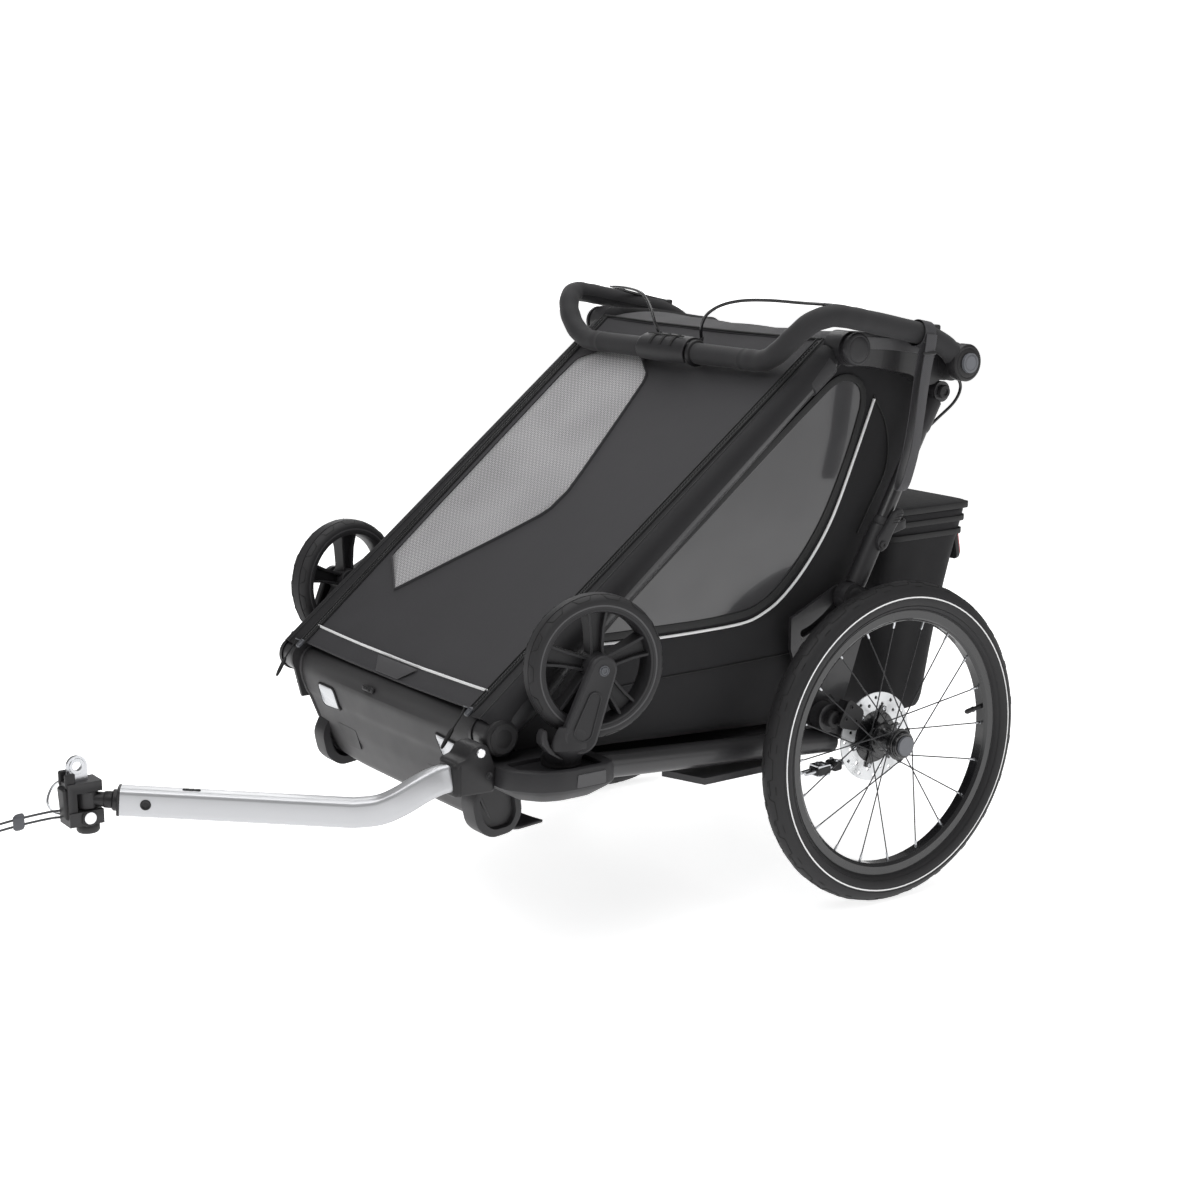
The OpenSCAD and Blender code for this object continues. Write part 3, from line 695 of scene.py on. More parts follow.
def bake(obj):
    """Applies the modifiers of a piece to its mesh."""
    depsgraph = bpy.context.evaluated_depsgraph_get()
    mesh = bpy.data.meshes.new_from_object(obj.evaluated_get(depsgraph))
    obj.modifiers.clear()
    obj.data = mesh
    mesh.shade_smooth()


def cushion(name, outline, x0, x1, grow, share):
    """A padded piece of a side view outline, drawn in at its seams by a share of SEAM_PULL along Y and Z."""
    o = rounded(outline, 16, 4)
    middle = o.mean(0)
    rings = []
    for t in CUSHION_STEPS:
        edge = min(t, 1 - t, abs(t - 0.5) + 0.02) / 0.06
        drawn = SEAM_PULL * (1 - min(1, edge) ** 0.5)
        ring = middle + (o - middle) * (1 - drawn * np.array(share))
        rings.append(np.column_stack([np.full(len(o), x0 + t * (x1 - x0)), ring]))
    pad = piece(name, loft(rings), PAD)
    inflate(pad, grow)
    rounder = pad.modifiers.new("smooth", "SUBSURF")
    rounder.levels = rounder.render_levels = 1
    return pad


def seats():
    pad = cushion("seat_cushion_pad", [(-329, 276), (-114, 276), (-114, 313), (-318, 322), (-330, 312)],
                  -226, 226, 5, (0, 1))
    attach(pad, "chassis")
    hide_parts("seat_cushion")
    back = cushion("seat_back_pad", [(-64, 334), (-42, 328), (93, 760), (74, 765)], -230, 230, 3.5,
                   (0.25, 0.03))
    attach(back, "chassis")
    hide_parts("seat_back")
    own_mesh(back)
    seams, straps = [], []
    up = unit(np.array([0, 138, 438]))
    out = unit(np.array([0, -438, 138]))
    for x in (-113, 113):
        for side in (-1, 1):
            line = [np.array([x + side * 38, -60, 336]) + up * t + out * (9 - 4 * (t / 380) ** 2)
                    for t in np.linspace(40, 380, 16)]
            straps.append(ribbon(line, 25, 3.0))
            for t in (120, 300):
                at = np.array([x + side * 38, -60, 336]) + up * t + out * 10
                seams.append(turned(block(at, (31, 6, 16), 1.2), -0.3, "X", at))
        lap = [(x + dx, -96 - 20 * math.cos(dx / 60), 338 - 6 * math.cos(dx / 70))
               for dx in np.linspace(-84, 84, 15)]
        straps.append(sweep(lap, circle(1, 8) * (2, 11)))
        seams.append(block((x, -122, 334), (34, 12, 30), 3))
    web = piece("harness_straps", merged(straps), WEB, "chassis")
    clips = piece("harness_buckles", merged(seams), BLACK, "chassis", bevel=0.8)
    for strap in (web, clips):
        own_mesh(strap)
    rows = [[(x, y, 270 - 3 * math.cos(x / 190) * math.sin((y + 590) / 500 * math.pi))
             for x in np.linspace(-262, 262, 21)]
            for y in np.linspace(-590, -92, 21)]
    floor = piece("floor_cloth", grid(rows), CLOTH, "chassis", solid=6.0)
    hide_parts("floor_panel")


# ---------------------------------------------------------------- cargo bag
def bag_ring(z, front, back, half, fold):
    """A ring of the bag's wall at one height, with soft folds that run down it."""
    plan = rounded([[-half, front], [half, front], [half, back], [-half, back]], 26, 6)
    ring = resample(np.vstack([plan, plan[:1]]), 97)[:-1]
    middle = ring.mean(0)
    waves = np.array([math.sin(k * 0.52) + 0.6 * math.sin(k * 1.13 + 1) for k in range(96)])
    scale = 1 - fold * (1 + waves)[:, None] * 0.01
    return np.column_stack([middle + (ring - middle) * scale, np.full(96, z)])


def cargo_bag():
    """The bag: a lofted shell that sags between its rim and its floor."""
    levels = [(569, 109, 283, 236, 0.0), (560, 109, 282, 236, 0.1), (520, 108, 271, 234, 0.5),
              (450, 104, 254, 231, 0.9),
              (370, 99, 236, 229, 1.1), (300, 95, 220, 229, 0.9), (262, 93, 211, 230, 0.6),
              (246, 97, 203, 227, 0.3),
              (239, 106, 193, 218, 0.1)]
    rings = [bag_ring(*row) for row in levels]
    verts, faces = loft(rings[::-1])
    bag = piece("cargo_bag_cloth", (verts, faces[:-1]), CLOTH, "chassis", solid=1.6,
                subdivide=1)
    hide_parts("cargo_bag")
    bands = [ribbon(bag_ring(z, 108, back, 236.6, 0), 2.2, 9, closed=True) for z,
             back in ((553, 282), (532, 276))]
    trim = piece("cargo_bag_binding", merged(bands), TRIM, "chassis")
    red = rounded([[-17, -24], [17, -24], [17, 24], [-17, 24]], 8)
    lens, mounts = [], []
    for s in (-1, 1):
        y_at = 271.5
        plate = loft([np.column_stack([s * 198 + o[:, 0], np.full(len(o), y), 506 + o[:, 1]])
                      for y, o in ((y_at, red * 1.12), (y_at + 6, red * 1.12), (y_at + 9, red * 1.04))])
        mounts.append(turned(plate, 0.2, "X", (0, y_at, 506)))
        glass = loft([np.column_stack([s * 198 + o[:, 0], np.full(len(o), y), 506 + o[:, 1]])
                      for y, o in ((y_at + 8, red * 0.95), (y_at + 12, red * 0.95),
                                   (y_at + 13.5, red * 0.85))])
        lens.append(turned(glass, 0.2, "X", (0, y_at, 506)))
    holder = piece("rear_reflector_mounts", merged(mounts), BLACK, "chassis", bevel=0.6)
    lamp = piece("rear_reflectors", merged(lens), RED, "chassis", bevel=0.4)
    arms = []
    for s in (-1, 1):
        arm = smooth([(s * 238, 132, 561), (s * 262, 112, 563), (s * 281, 92, 566), (s * 283, 60, 560)], 5)
        arms.append(sweep(arm, rounded([[-2.2, -7], [2.2, -7], [2.2, 7], [-2.2, 7]], 2)))
    hooks = piece("cargo_bag_arms", merged(arms), GREY, "chassis")
    for part in (bag, trim, holder, lamp, hooks):
        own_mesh(part)


def cargo_lid():
    """The bag's domed lid with its rim band, hinged at the front."""
    rings = []
    for z, grow in ((569.5, 0), (571, 1.5), (577, 1.8), (579, 0.5), (581.5, -4), (584.5, -26), (586, -58),
                    (586.8, -90)):
        rings.append(bag_ring(z, 107.5 - grow, 286 + grow, 238.5 + grow, 0.12 if grow < -10 else 0))
    for k, ring in enumerate(rings[4:]):
        ring[:, 2] -= (ring[:, 1] - 200) * 0.012 * k
    verts, faces = loft(rings)
    lid = piece("cargo_lid_cloth", (verts, faces), CLOTH, "cargo_lid", subdivide=1)
    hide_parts("cargo_lid")
    line = bag_ring(574, 106, 287.5, 240, 0)
    band = piece("cargo_lid_band", ribbon(line, 1.8, 9, closed=True), TRIM, "cargo_lid")
    pulls = []
    for x in (-80, 80):
        pulls.append(tube(smooth([(x - 4, 288, 571), (x - 4, 292, 560), (x + 4, 292, 560),
                                  (x + 4, 288, 571)], 5), 1.2, 8))
    tags = piece("cargo_lid_pulls", merged(pulls), WEB, "cargo_lid")
    for part in (lid, band, tags):
        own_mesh(part)


# ---------------------------------------------------------------- rear wheels
def ring_on_tyre(phi, lift=0.0):
    """(x, radius) on the tyre's round section, phi degrees up from its outer side."""
    r = TYRE_HALF + lift
    return r * math.cos(math.radians(phi)), TYRE_R - TYRE_HALF + r * math.sin(math.radians(phi))


def tyre_profile():
    tread = [ring_on_tyre(phi) for phi in np.linspace(-62, 242, 49)]
    return tread + [(-13.4, TYRE_R - 42.5), (-11, TYRE_R - 46), (11, TYRE_R - 46), (13.4, TYRE_R - 42.5)]


def tread_mark(outline, spin, centre, side_sign, lift=0.12):
    """A groove drawn on the tyre: points of (degrees round the wheel, phi on the section)."""
    pts = []
    for turn, phi in resample(outline, 6 + 4 * len(outline)):
        x, r = ring_on_tyre(phi, lift)
        a = math.radians(turn + spin)
        pts.append((centre[0] + side_sign * x, centre[1] + r * math.cos(a), centre[2] + r * math.sin(a)))
    return ribbon(pts, 1.5, 0.5)


def rear_wheel(name, side):
    centre = (WHEEL_X, 0, TYRE_R)
    body = f"wheel_{name}"
    tyre = piece(f"tyre_mesh_{name}", sided(lathe(tyre_profile(), centre, 144, closed=True), side), RUBBER,
                 body)
    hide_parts(f"tyre_{name}")
    marks = []
    bracket = [(-6.2, 82), (-4.3, 80), (-3.4, 60), (3.4, 60), (4.3, 80), (6.2, 82)]
    nick = [(-1.5, 50), (1.5, 50)]
    for k in range(24):
        for flip in (1, -1):
            spin = 15 * k + (7.5 if flip < 0 else 0)
            marks.append(tread_mark(bracket, spin, centre, flip))
            marks.append(tread_mark(nick, spin + 7.5, centre, flip))
            marks.append(tread_mark([(4.6, 74), (9.4, 74)], spin, centre, flip))
    piece(f"tyre_tread_{name}", sided(merged(marks), side), GROOVE, body)
    rings, flats = [], []
    for flip in (1, -1):
        for phi, w in ((16, 0.55), (-30, 0.9), (-48, 0.8)):
            x, r = ring_on_tyre(phi, 0.15)
            rings.append(lathe([(flip * x + a, r + b) for a, b in ((-w, 0), (0, -w), (w, 0), (0, w))],
                               centre, 96, closed=True))
        band = []
        for phi in (8.4, 3.4):
            band += [ring_on_tyre(phi, 0.05),
                     ring_on_tyre(phi, 0.32)] if phi > 5 else [ring_on_tyre(phi, 0.32),
                                                               ring_on_tyre(phi, 0.05)]
        flats.append(lathe([(flip * x, r) for x, r in band], centre, 96, closed=True))
    piece(f"tyre_ribs_{name}", sided(merged(rings), side), RUBBER, body)
    piece(f"tyre_band_{name}", sided(merged(flats), side), WHITE, body)
    spoke_kit(name, side, centre, body)


def spoke_kit(name, side, centre, body):
    """Nipples, valve and the hub's details."""
    nipples, heads = [], []
    rim_in = TYRE_R - 60
    for i in range(20):
        a = math.radians(18 * i)
        lead = math.radians(62 if i % 4 < 2 else -62)
        flange = 386 if i % 2 == 0 else 345
        low = np.array([flange, 25.2 * math.cos(a + lead), TYRE_R + 25.2 * math.sin(a + lead)])
        high = np.array([WHEEL_X, (rim_in + 2) * math.cos(a), TYRE_R + (rim_in + 2) * math.sin(a)])
        way = unit(low - high)
        nipples.append(tube([high + way * t for t in (0, 2.2, 2.4, 12, 13.5, 14.2)],
                            [2.6, 2.6, 2.0, 1.9, 1.5, 1.1], 10))
        heads.append(tube([low + way * t for t in (-7, 1, 3)], [1.6, 1.6, 1.0], 8))
    piece(f"spoke_nipples_{name}", sided(merged(nipples), side), STEEL, body)
    piece(f"spoke_ends_{name}", sided(merged(heads), side), SPOKE, body)
    a = math.radians(8)
    out = np.array([0, math.cos(a), math.sin(a)])
    root = np.array(centre) + out * (rim_in + 3)
    stem = tube([root - out * t for t in (0, 16, 16.5, 19, 19.5, 31, 34)],
                [3.6, 3.4, 4.6, 4.6, 4.0, 4.0, 2.4], 14)
    piece(f"valve_{name}", sided(stem, side), BLACK, body)
    rings = [lathe([(dx + a, r + b) for a, b in ((-0.9, 0), (0, 0.9), (0.9, 0), (0, -0.9))], centre, 96,
                   closed=True)
             for dx, r in ((12.9, TYRE_R - 42.2), (-12.9, TYRE_R - 42.2), (9.5, rim_in + 2.2),
                           (-9.5, rim_in + 2.2))]
    piece(f"rim_lips_{name}", sided(merged(rings), side), GLOSS, body)
    hub_centre = (WHEEL_X, 0, TYRE_R)
    shell = lathe([(-19.5, 24.5), (-16.5, 24.5), (-15, 19), (-8, 15.5), (8, 15.5), (16, 19), (17.5, 24.6),
                   (20.5, 24.6),
                   (22, 20.5), (27, 20.5), (29.5, 19.2), (29.6, 16.2), (20, 16.2), (20, 14.2), (-19.5, 14.2)],
                  hub_centre, 48, closed=True)
    piece(f"hub_shell_{name}", sided(shell, side), GLOSS, body, bevel=0.4)
    spider, pins = [], []
    for k in range(6):
        a = math.radians(60 * k + 12)
        way = np.array([0, math.cos(a), math.sin(a)])
        across = np.array([0, -math.sin(a), math.cos(a)])
        at = np.array([331.2, 0, TYRE_R])
        rings = [[at + way * r + across * (w * s) + (dx, 0, 0) for s,
                  dx in ((-1, -1), (-1, 1), (1, 1), (1, -1))]
                 for r, w in ((16, 9), (30, 5.5), (42, 6.5), (49.5, 5.5))]
        spider.append(loft(rings))
        pin = at + way * 45.5
        pins.append(lathe([(0.9, 3.2), (2.4, 3.0), (2.6, 1.6), (1.6, 1.5)], pin, 12))
    piece(f"disc_spider_{name}", sided(merged(spider), side), GLOSS, body, bevel=0.5)
    piece(f"disc_rivets_{name}", sided(merged(pins), side), STEEL, body)
    cap = lathe([(25.2, 14.6), (32.1, 14.6), (32.9, 13.8), (33.05, 12), (32.5, 11), (32.4, 0.4)], hub_centre,
                48)
    piece(f"release_face_{name}", sided(cap, side), BUTTON, f"release_button_{name}", bevel=0.2)
    rib = lathe([(32.5, 7.8), (33.1, 7.4), (33.1, 6.2), (32.5, 5.8)], hub_centre, 40, closed=True)
    piece(f"release_ring_{name}", sided(rib, side), BUTTON, f"release_button_{name}")


def suspension(name, side):
    """What covers the swing arm: caliper, bolt caps and the leaf spring's clamps."""
    body = f"swing_arm_{name}"
    outline = rounded([[-85, 283], [-50, 273], [-39, 298], [-66, 319]][::-1], 6)
    rings = [np.column_stack([np.full(len(outline), x), o]) for x, o in
             ((334.5, outline), (340.5, outline), (343.5, inset(outline, 3.5)))]
    piece(f"caliper_{name}", sided(loft(rings), side), BLACK, body, bevel=0.5)
    bolts = [lathe([(-1, 3.6), (1.5, 3.6), (2.0, 3.0), (2.0, 2.0), (1.0, 1.8), (1.0, 0.4)], (342.5, y, z), 16)
             for y, z in ((-73, 292), (-53, 286), (-62, 309))]
    piece(f"caliper_bolts_{name}", sided(merged(bolts), side), BLACK, body)
    knob = lathe([(-10, 13), (-1, 13), (0.5, 11.8), (1.2, 9), (1.2, 6.4), (-0.5, 6), (-0.5, 0.4)],
                 (332.5, *ARM_PIVOT[1:]), 32)
    piece(f"arm_bolt_{name}", sided(knob, side), BLACK, "chassis", bevel=0.3)
    collar = lathe([(-3, 22.6), (2.6, 22.6), (4.4, 20.8), (4.4, 14.6)], (318, *ARM_PIVOT[1:]), 40)
    piece(f"arm_collar_{name}", sided(collar, side), PAINT, body, bevel=0.4)
    rib = smooth([(321.6, -72, 286), (321.6, -50, 277), (321.6, -26, 265), (321.6, -6, 256)], 5)
    ring = rounded([[-2.2, -8.5], [2.2, -8.5], [2.2, 8.5], [-2.2, 8.5]], 2)
    piece(f"arm_rib_{name}", sided(sweep(rib, ring), side), PAINT, body, bevel=0.4)
    pads, screws = [], []
    for y, z, w in ((-88, 205.5, 27), (-60, 208, 17), (16, 222, 21)):
        pads.append(turned(block((303, y, z), (24, w, 15), 2.2), 0.07, "X", (303, y, z)))
        for dx in (-6, 6):
            at = (303 + dx, y, z + 7.4)
            head = turned(lathe([(-1, 3.4), (2.6, 3.4), (3.2, 2.4), (2.0, 2.0), (2.0, 0.3)], at, 12),
                          -math.pi / 2, "Y", at)
            screws.append(head)
    piece(f"spring_clamps_{name}", sided(merged(pads), side), GREY, body, bevel=0.8)
    piece(f"spring_screws_{name}", sided(merged(screws), side), STEEL, body)
    knob = lathe([(-3, 9.5), (4, 9.5), (6, 7.5), (6.4, 3)], (314, 16, 226), 24)
    piece(f"spring_knob_{name}", sided(knob, side), STEEL, body, bevel=0.4)


# ---------------------------------------------------------------- stroller wheels
def at_caster(part, side):
    verts, faces = part
    m = np.array(Matrix.Rotation(CASTER_YAW, 3, "Z"))
    return sided((verts @ m.T + CASTER, faces), side)


def caster(name, side):
    body = f"caster_{name}"
    centre = (0, 0, 0)
    tread = [(-19.2, 83), (-19.6, 88), (-19.4, 92), (-17, 96), (-12.2, 99.4), (-9, 100.6), (-8.4, 99.2),
             (-7.6, 99.2),
             (-7, 101), (0, 101.4), (7, 101), (7.6, 99.2), (8.4, 99.2), (9, 100.6), (12.2, 99.4), (17, 96),
             (19.4, 92),
             (19.6, 88), (19.2, 83)]
    wheel = piece(f"caster_tyre_{name}", at_caster(lathe(tread, centre, 96, closed=True), side), RUBBER, body)
    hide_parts(f"caster_{name}")
    notches = []
    for k in range(14):
        for flip in (1, -1):
            pts = []
            for turn, x in ((-8.5, 8.2), (-6.5, 13.4), (-5.2, 16.4), (5.2, 16.4), (6.5, 13.4), (8.5, 8.2)):
                r = float(np.interp(x, [8.2, 12.2, 17], [100.8, 99.5, 96.1]))
                b = math.radians(360 / 14 * k + turn + (12 if flip < 0 else 0))
                pts.append((flip * x, r * math.cos(b), r * math.sin(b)))
            notches.append(ribbon(resample(pts, 24), 1.6, 0.8))
    piece(f"caster_tread_{name}", at_caster(merged(notches), side), GROOVE, body)
    rim = [(-18.6, 84), (-18.8, 79), (-14, 77), (-9, 75.5), (9, 75.5), (14, 77), (18.8, 79), (18.6, 84)]
    parts = [lathe(rim, centre, 96, closed=True)]
    hub = lathe([(-17, 14), (-16, 19), (-9, 21), (9, 21), (16, 19), (20, 17.5), (21.5, 14), (21.5, 6)],
                centre, 48)
    parts.append(hub)
    for k in range(5):
        a = math.radians(72 * k + 18)
        way, across = np.array([0, math.cos(a), math.sin(a)]), np.array([0, -math.sin(a), math.cos(a)])
        web = [[way * r + across * (w * s) + (dx * q, 0, 0) for s, q in ((-1, -1), (-1, 1), (1, 1), (1, -1))]
               for r, w, dx in ((15, 10, 4), (30, 10.5, 3.5), (55, 12, 3.5), (79, 15.5, 5))]
        parts.append(loft(web))
        for off in (-1, 1):
            rib = [[way * r + across * (off * w + 2.1 * s) + (dx * q, 0, 0) for s,
                    q in ((-1, -1), (-1, 1), (1, 1), (1, -1))]
                   for r, w, dx in ((15, 8, 12.5), (30, 8.4, 11), (55, 10, 11.5), (79, 13.4, 15))]
            parts.append(loft(rib))
    piece(f"caster_rim_{name}", at_caster(merged(parts), side), GREY, body, bevel=0.8)
    # A paler grey ring on the side of each caster tyre, where the rim's edge catches the light: a painted
    # highlight.
    light = [lathe([(q * 19.3, 85.6), (q * 19.75, 86.2), (q * 19.8, 87.8), (q * 19.4, 88.4)], centre, 96,
                   closed=True)
             for q in (1, -1)]
    piece(f"caster_highlight_band_{name}", at_caster(merged(light), side), PANEL, body)
    fork(name, side)


def blade(grow, x, top=(0.0, 0.0), low=(-34.0, -88.0), r_top=21.0, r_low=27.0):
    """The outline of a fork blade: a straight sided shape with a round top and bottom."""
    a = np.linspace(0, 2 * math.pi, 48, endpoint=False)
    top, low = np.array(top), np.array(low)
    way = unit(low - top)
    out = []
    for angle in a:
        d = np.array([math.cos(angle), math.sin(angle)])
        near, r = (top, r_top) if d @ way < 0 else (low, r_low)
        out.append(near + (r + grow) * d)
    return np.column_stack([np.full(48, float(x)), out])


def oval(cx, cy, z, rx, ry):
    a = np.linspace(0, 2 * math.pi, 48, endpoint=False)
    return np.column_stack([cx + rx * np.cos(a), cy + ry * np.sin(a), np.full(48, float(z))])


def fork(name, side):
    body = f"fork_{name}"
    outer = loft([blade(-3, 22), blade(-0.6, 24), blade(-0.6, 32.6), blade(-2.2, 35), blade(-5, 36.0),
                  blade(-6.4, 35.6)])
    crown = [oval(29, -38, -74, 6.5, 27), oval(29, -40, -84, 7.5, 31), oval(28, -42, -95, 8.5, 33),
             oval(22, -45, -106, 16, 34),
             oval(9, -47, -113, 26, 32), oval(2, -48, -120, 27.5, 29), oval(-1, -48, -128, 27, 27),
             oval(-3, -48, -133.4, 25.5, 25.5)]
    horn = []
    for cy, z, w, t in ((-66, -116, 12, 6), (-77, -108, 12, 7), (-85, -97, 12, 6.5), (-87, -86, 11, 5),
                        (-85.5, -78, 9, 3.2),
                        (-84.5, -76, 7, 1.6)):
        ring = rounded([[-w, -t], [w, -t], [w, t], [-w, t]], 5, 3)
        horn.append(np.column_stack([23 + ring[:, 0], cy + ring[:, 1], z - ring[:, 1] * 0.35]))
    skirt = loft([oval(-3, -48, -134.4, 26.5, 26.5), oval(-3, -48, -133.6, 28, 28),
                  oval(-3, -48, -127, 28, 28), oval(-3, -48, -125.6, 26, 26)])
    stem = loft([oval(-3, -48, -172, 6.5, 6.5), oval(-3, -48, -170, 8.6, 8.6), oval(-3, -48, -127, 8.6, 8.6)])
    arm = piece(f"fork_blade_{name}", at_caster(merged([outer, loft(crown[::-1]), loft(horn), stem]), side),
                GREY, body,
                crisp=30)
    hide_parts(f"fork_{name}")
    piece(f"fork_collar_{name}", at_caster(skirt, side), BLACK, body, bevel=0.4)
    head = lathe([(34.6, 7.6), (36.6, 7.4), (37.0, 6.6), (36.2, 5.8), (36.2, 5.2), (37.6, 4.8), (37.9, 3.4),
                  (36.6, 2.6), (36.6, 0.4)],
                 (0, 0, 0), 28)
    axle = lathe([(-24, 4), (-23, 6.4), (-21.8, 6.4), (-21.6, 4.1), (-20, 4), (30, 4)], (0, 0, 0), 20)
    piece(f"fork_bolt_{name}", at_caster(merged([head, axle]), side), BUTTON, body, bevel=0.2)
    low, top = (-31.5, -82.0), (-14.5, -37.5)
    rim = loft([blade(0, 35.2, top, low, 10, 14.5), blade(0, 36.9, top, low, 10, 14.5),
                blade(-0.8, 37.4, top, low, 10, 14.5),
                blade(-1.8, 37.0, top, low, 10, 14.5), blade(-2.2, 35.8, top, low, 10, 14.5)])
    piece(f"fork_inset_{name}", at_caster(rim, side), GREY, body, bevel=0.2)


# ---------------------------------------------------------------- bumper, docks and lower frame
BUMPER_LINE = [(-562, 190), (-604, 187), (-630, 194), (-647, 208), (-657, 236), (-664, 262), (-672, 296),
               (-675, 300),
               (-682, 334), (-681, 350), (-676, 360), (-668, 368), (-648, 373)]


def bumper():
    line = np.array(BUMPER_LINE, float)
    rows = []
    for y, z in resample(line, 44):
        half = 262 if z > 322 else 232 + 30 * max(0, z - 250) / 72 if z > 250 else 226 + 6 * max(0,
                                                                                                 z - 180) / 70
        row = []
        for u in np.linspace(-1, 1, 41):
            x = half * u
            bow = 7 * (1 - u * u) * min(1, max(0, (z - 200) / 60)) * (1 if z < 345 else 0.4)
            arch = 10 * (u * u) ** 3 * max(0, min(1, (250 - z) / 60))
            row.append((x, y - bow + arch, z))
        rows.append(row)
    shell = piece("bumper_skin", grid(rows), BUMPER, "chassis", solid=3.0, subdivide=1,
                  crisp=25)
    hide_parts("bumper_shell")
    rows = np.array(rows)
    lip = [tube(rows[-1], 3.2, 10), tube(np.vstack([rows[:, 0]]), 2.4, 8), tube(rows[:, -1], 2.4, 8),
           tube(rows[0], 2.4, 8)]
    piece("bumper_lip", merged(lip), BUMPER, "chassis")
    glass, frames = [], []
    for corners in ([(158, 327), (217, 322), (203, 296), (171, 293)],
                    [(-197, 326), (-148, 327), (-140, 295), (-193, 291)]):
        o = rounded(np.array(corners, float)[::-1], 7)
        y_of = np.interp(o[:, 1], [290, 300, 334], [-671, -676, -683]) - 5.5 * (1 - (o[:, 0] / 262) ** 2)
        def face(scale, lift):
            c = o.mean(0)
            p = c + (o - c) * scale
            return np.column_stack([p[:, 0], y_of - lift, p[:, 1]])
        frames.append(loft([face(1.14, -1), face(1.14, 2.2), face(1.04, 3.2), face(1.0, 2.0)]))
        glass.append(loft([face(1.0, 0), face(1.0, 2.6), face(0.86, 3.4)]))
    piece("front_reflector_frames", merged(frames), BLACK, "chassis", bevel=0.3)
    piece("front_reflectors", merged(glass), LENS, "chassis", bevel=0.3)
    clip = [block((-35, -686, 351), (31, 7, 8), 1.6), block((-35, -690, 351), (18, 4, 4), 1.0)]
    piece("bumper_clip", merged(clip), BLACK, "chassis", bevel=0.4)


def skid_loops():
    """The loops under the bumper's corners, closed by a thin recessed panel."""
    outer = rounded([[-676, 240], [-668, 202], [-646, 184], [-608, 188], [-592, 212], [-598, 268],
                     [-660, 270]], 12, 5)
    inner = rounded([[-664, 240], [-656, 210], [-641, 197], [-613, 199], [-604, 215], [-609, 257],
                     [-656, 259]], 9, 5)
    parts, skins = [], []
    for q in (1, -1):
        rings = [np.column_stack([np.full(len(outer), q * x), o]) for x, o in
                 ((206, outer), (234, outer), (238, outer * 0.97 + inner * 0.03),
                  (239, outer * 0.8 + inner * 0.2),
                  (239, inner * 0.9 + outer * 0.1), (236, inner), (206, inner))]
        parts.append(grid(rings, wrap_rows=True, wrap_columns=True))
        skins.append(slab(inner, q * 230 - 1, q * 230 + 1))
    loops = piece("skid_loop_frames", merged(parts), GREY, "chassis")
    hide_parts("skid_loops")
    piece("skid_loop_panels", merged(skins), BLACK, "chassis")
    vents = []
    for q in (1, -1):
        o = np.array([(q * 170, 268), (q * 106, 268), (q * 104, 236), (q * 146, 234)], float)
        o = rounded(o, 5, 3)
        y_of = np.interp(o[:, 1], [204, 236, 262, 296],
                         [-645, -657, -664, -672]) - 5.8 * (1 - (o[:, 0] / 232) ** 2)
        vents.append(loft([np.column_stack([o[:, 0], y_of + dy, o[:, 1]]) for dy in (1.5, -1.4)]))
    piece("bumper_vents", merged(vents), BLACK, "chassis")


def dock(name, side, front):
    """The dock under a stroller wheel: a tray with a chamfered underside and a grey inset at its corner."""
    plan = rounded(np.array([[269, front], [345, front], [385, front + 30], [398, front + 65], [398, -556],
                             [386, -534],
                             [269, -534]], float), 13, 5)
    well = rounded(np.array([[318, front + 18], [350, front + 18], [382, front + 50], [388, front + 80],
                             [388, -556],
                             [318, -556]], float), 9, 4)
    plan = resample(np.vstack([plan, plan[:1]]), 121)[:-1]
    ray = plan - (345, -600)
    reach = []
    for way in ray:
        ang = math.atan2(way[1], way[0])
        w = resample(np.vstack([well, well[:1]]), 361)[:-1]
        a = np.arctan2(w[:, 1] + 600, w[:, 0] - 345)
        reach.append(w[int(np.argmin(np.abs((a - ang + math.pi) % (2 * math.pi) - math.pi)))])
    reach = np.array(reach)
    middle = plan.mean(0)

    def pulled(k):
        return plan + (middle - plan) * (k / 60)

    rings = [level(pulled(24), 269.5), level(pulled(20), 271), level(pulled(5), 284), level(pulled(2), 287.5),
             level(pulled(0), 291), level(pulled(0.3), 311), level(pulled(2), 316.6), level(pulled(4), 318),
             level(reach, 318),
             level(reach + (middle - reach) * 0.02, 316.8), level(reach + (middle - reach) * 0.03, 312.4),
             level(reach + (middle - reach) * 0.5, 312.2)]
    body = piece(f"dock_body_{name}", sided(loft(rings), side), GREY, "chassis", crisp=32)
    corner = [(398.4, y, z) for y, z in rounded([[-608, 292.5], [-560, 292.5], [-560, 310.5], [-606, 310.5]],
                                                2.5, 3)]
    plate = loft([np.array(corner) - (2, 0, 0), np.array(corner), np.array(corner) + (0.5, 0, 0)])
    piece(f"dock_inset_{name}", sided(plate, side), PANEL, "chassis", bevel=0.2)
    return body


def front_corner(name, side):
    """Hub cap and boot where the front tube meets the floor frame."""
    centre = (0, *HINGE[1:])
    cap = lathe([(300, 25.4), (306, 26.4), (309, 25.6), (311.5, 22.2), (312, 19.8), (311.4, 18.8),
                 (312.2, 17.6),
                 (313.2, 12), (313.6, 6)], centre, 48)
    piece(f"front_hub_cap_{name}", sided(cap, side), BLACK, "chassis", bevel=0.3)
    way = unit(JOINT[1:] - HINGE[1:])
    path = [HINGE + (288, *(way * t)) for t in (20, 30, 50, 84, 112, 124, 126)]
    boot = tube(path, [20, 23.5, 25, 24, 22, 21, 18.4], 36)
    piece(f"front_boot_{name}", sided(boot, side), GREY, "upper_frame", bevel=0.4)


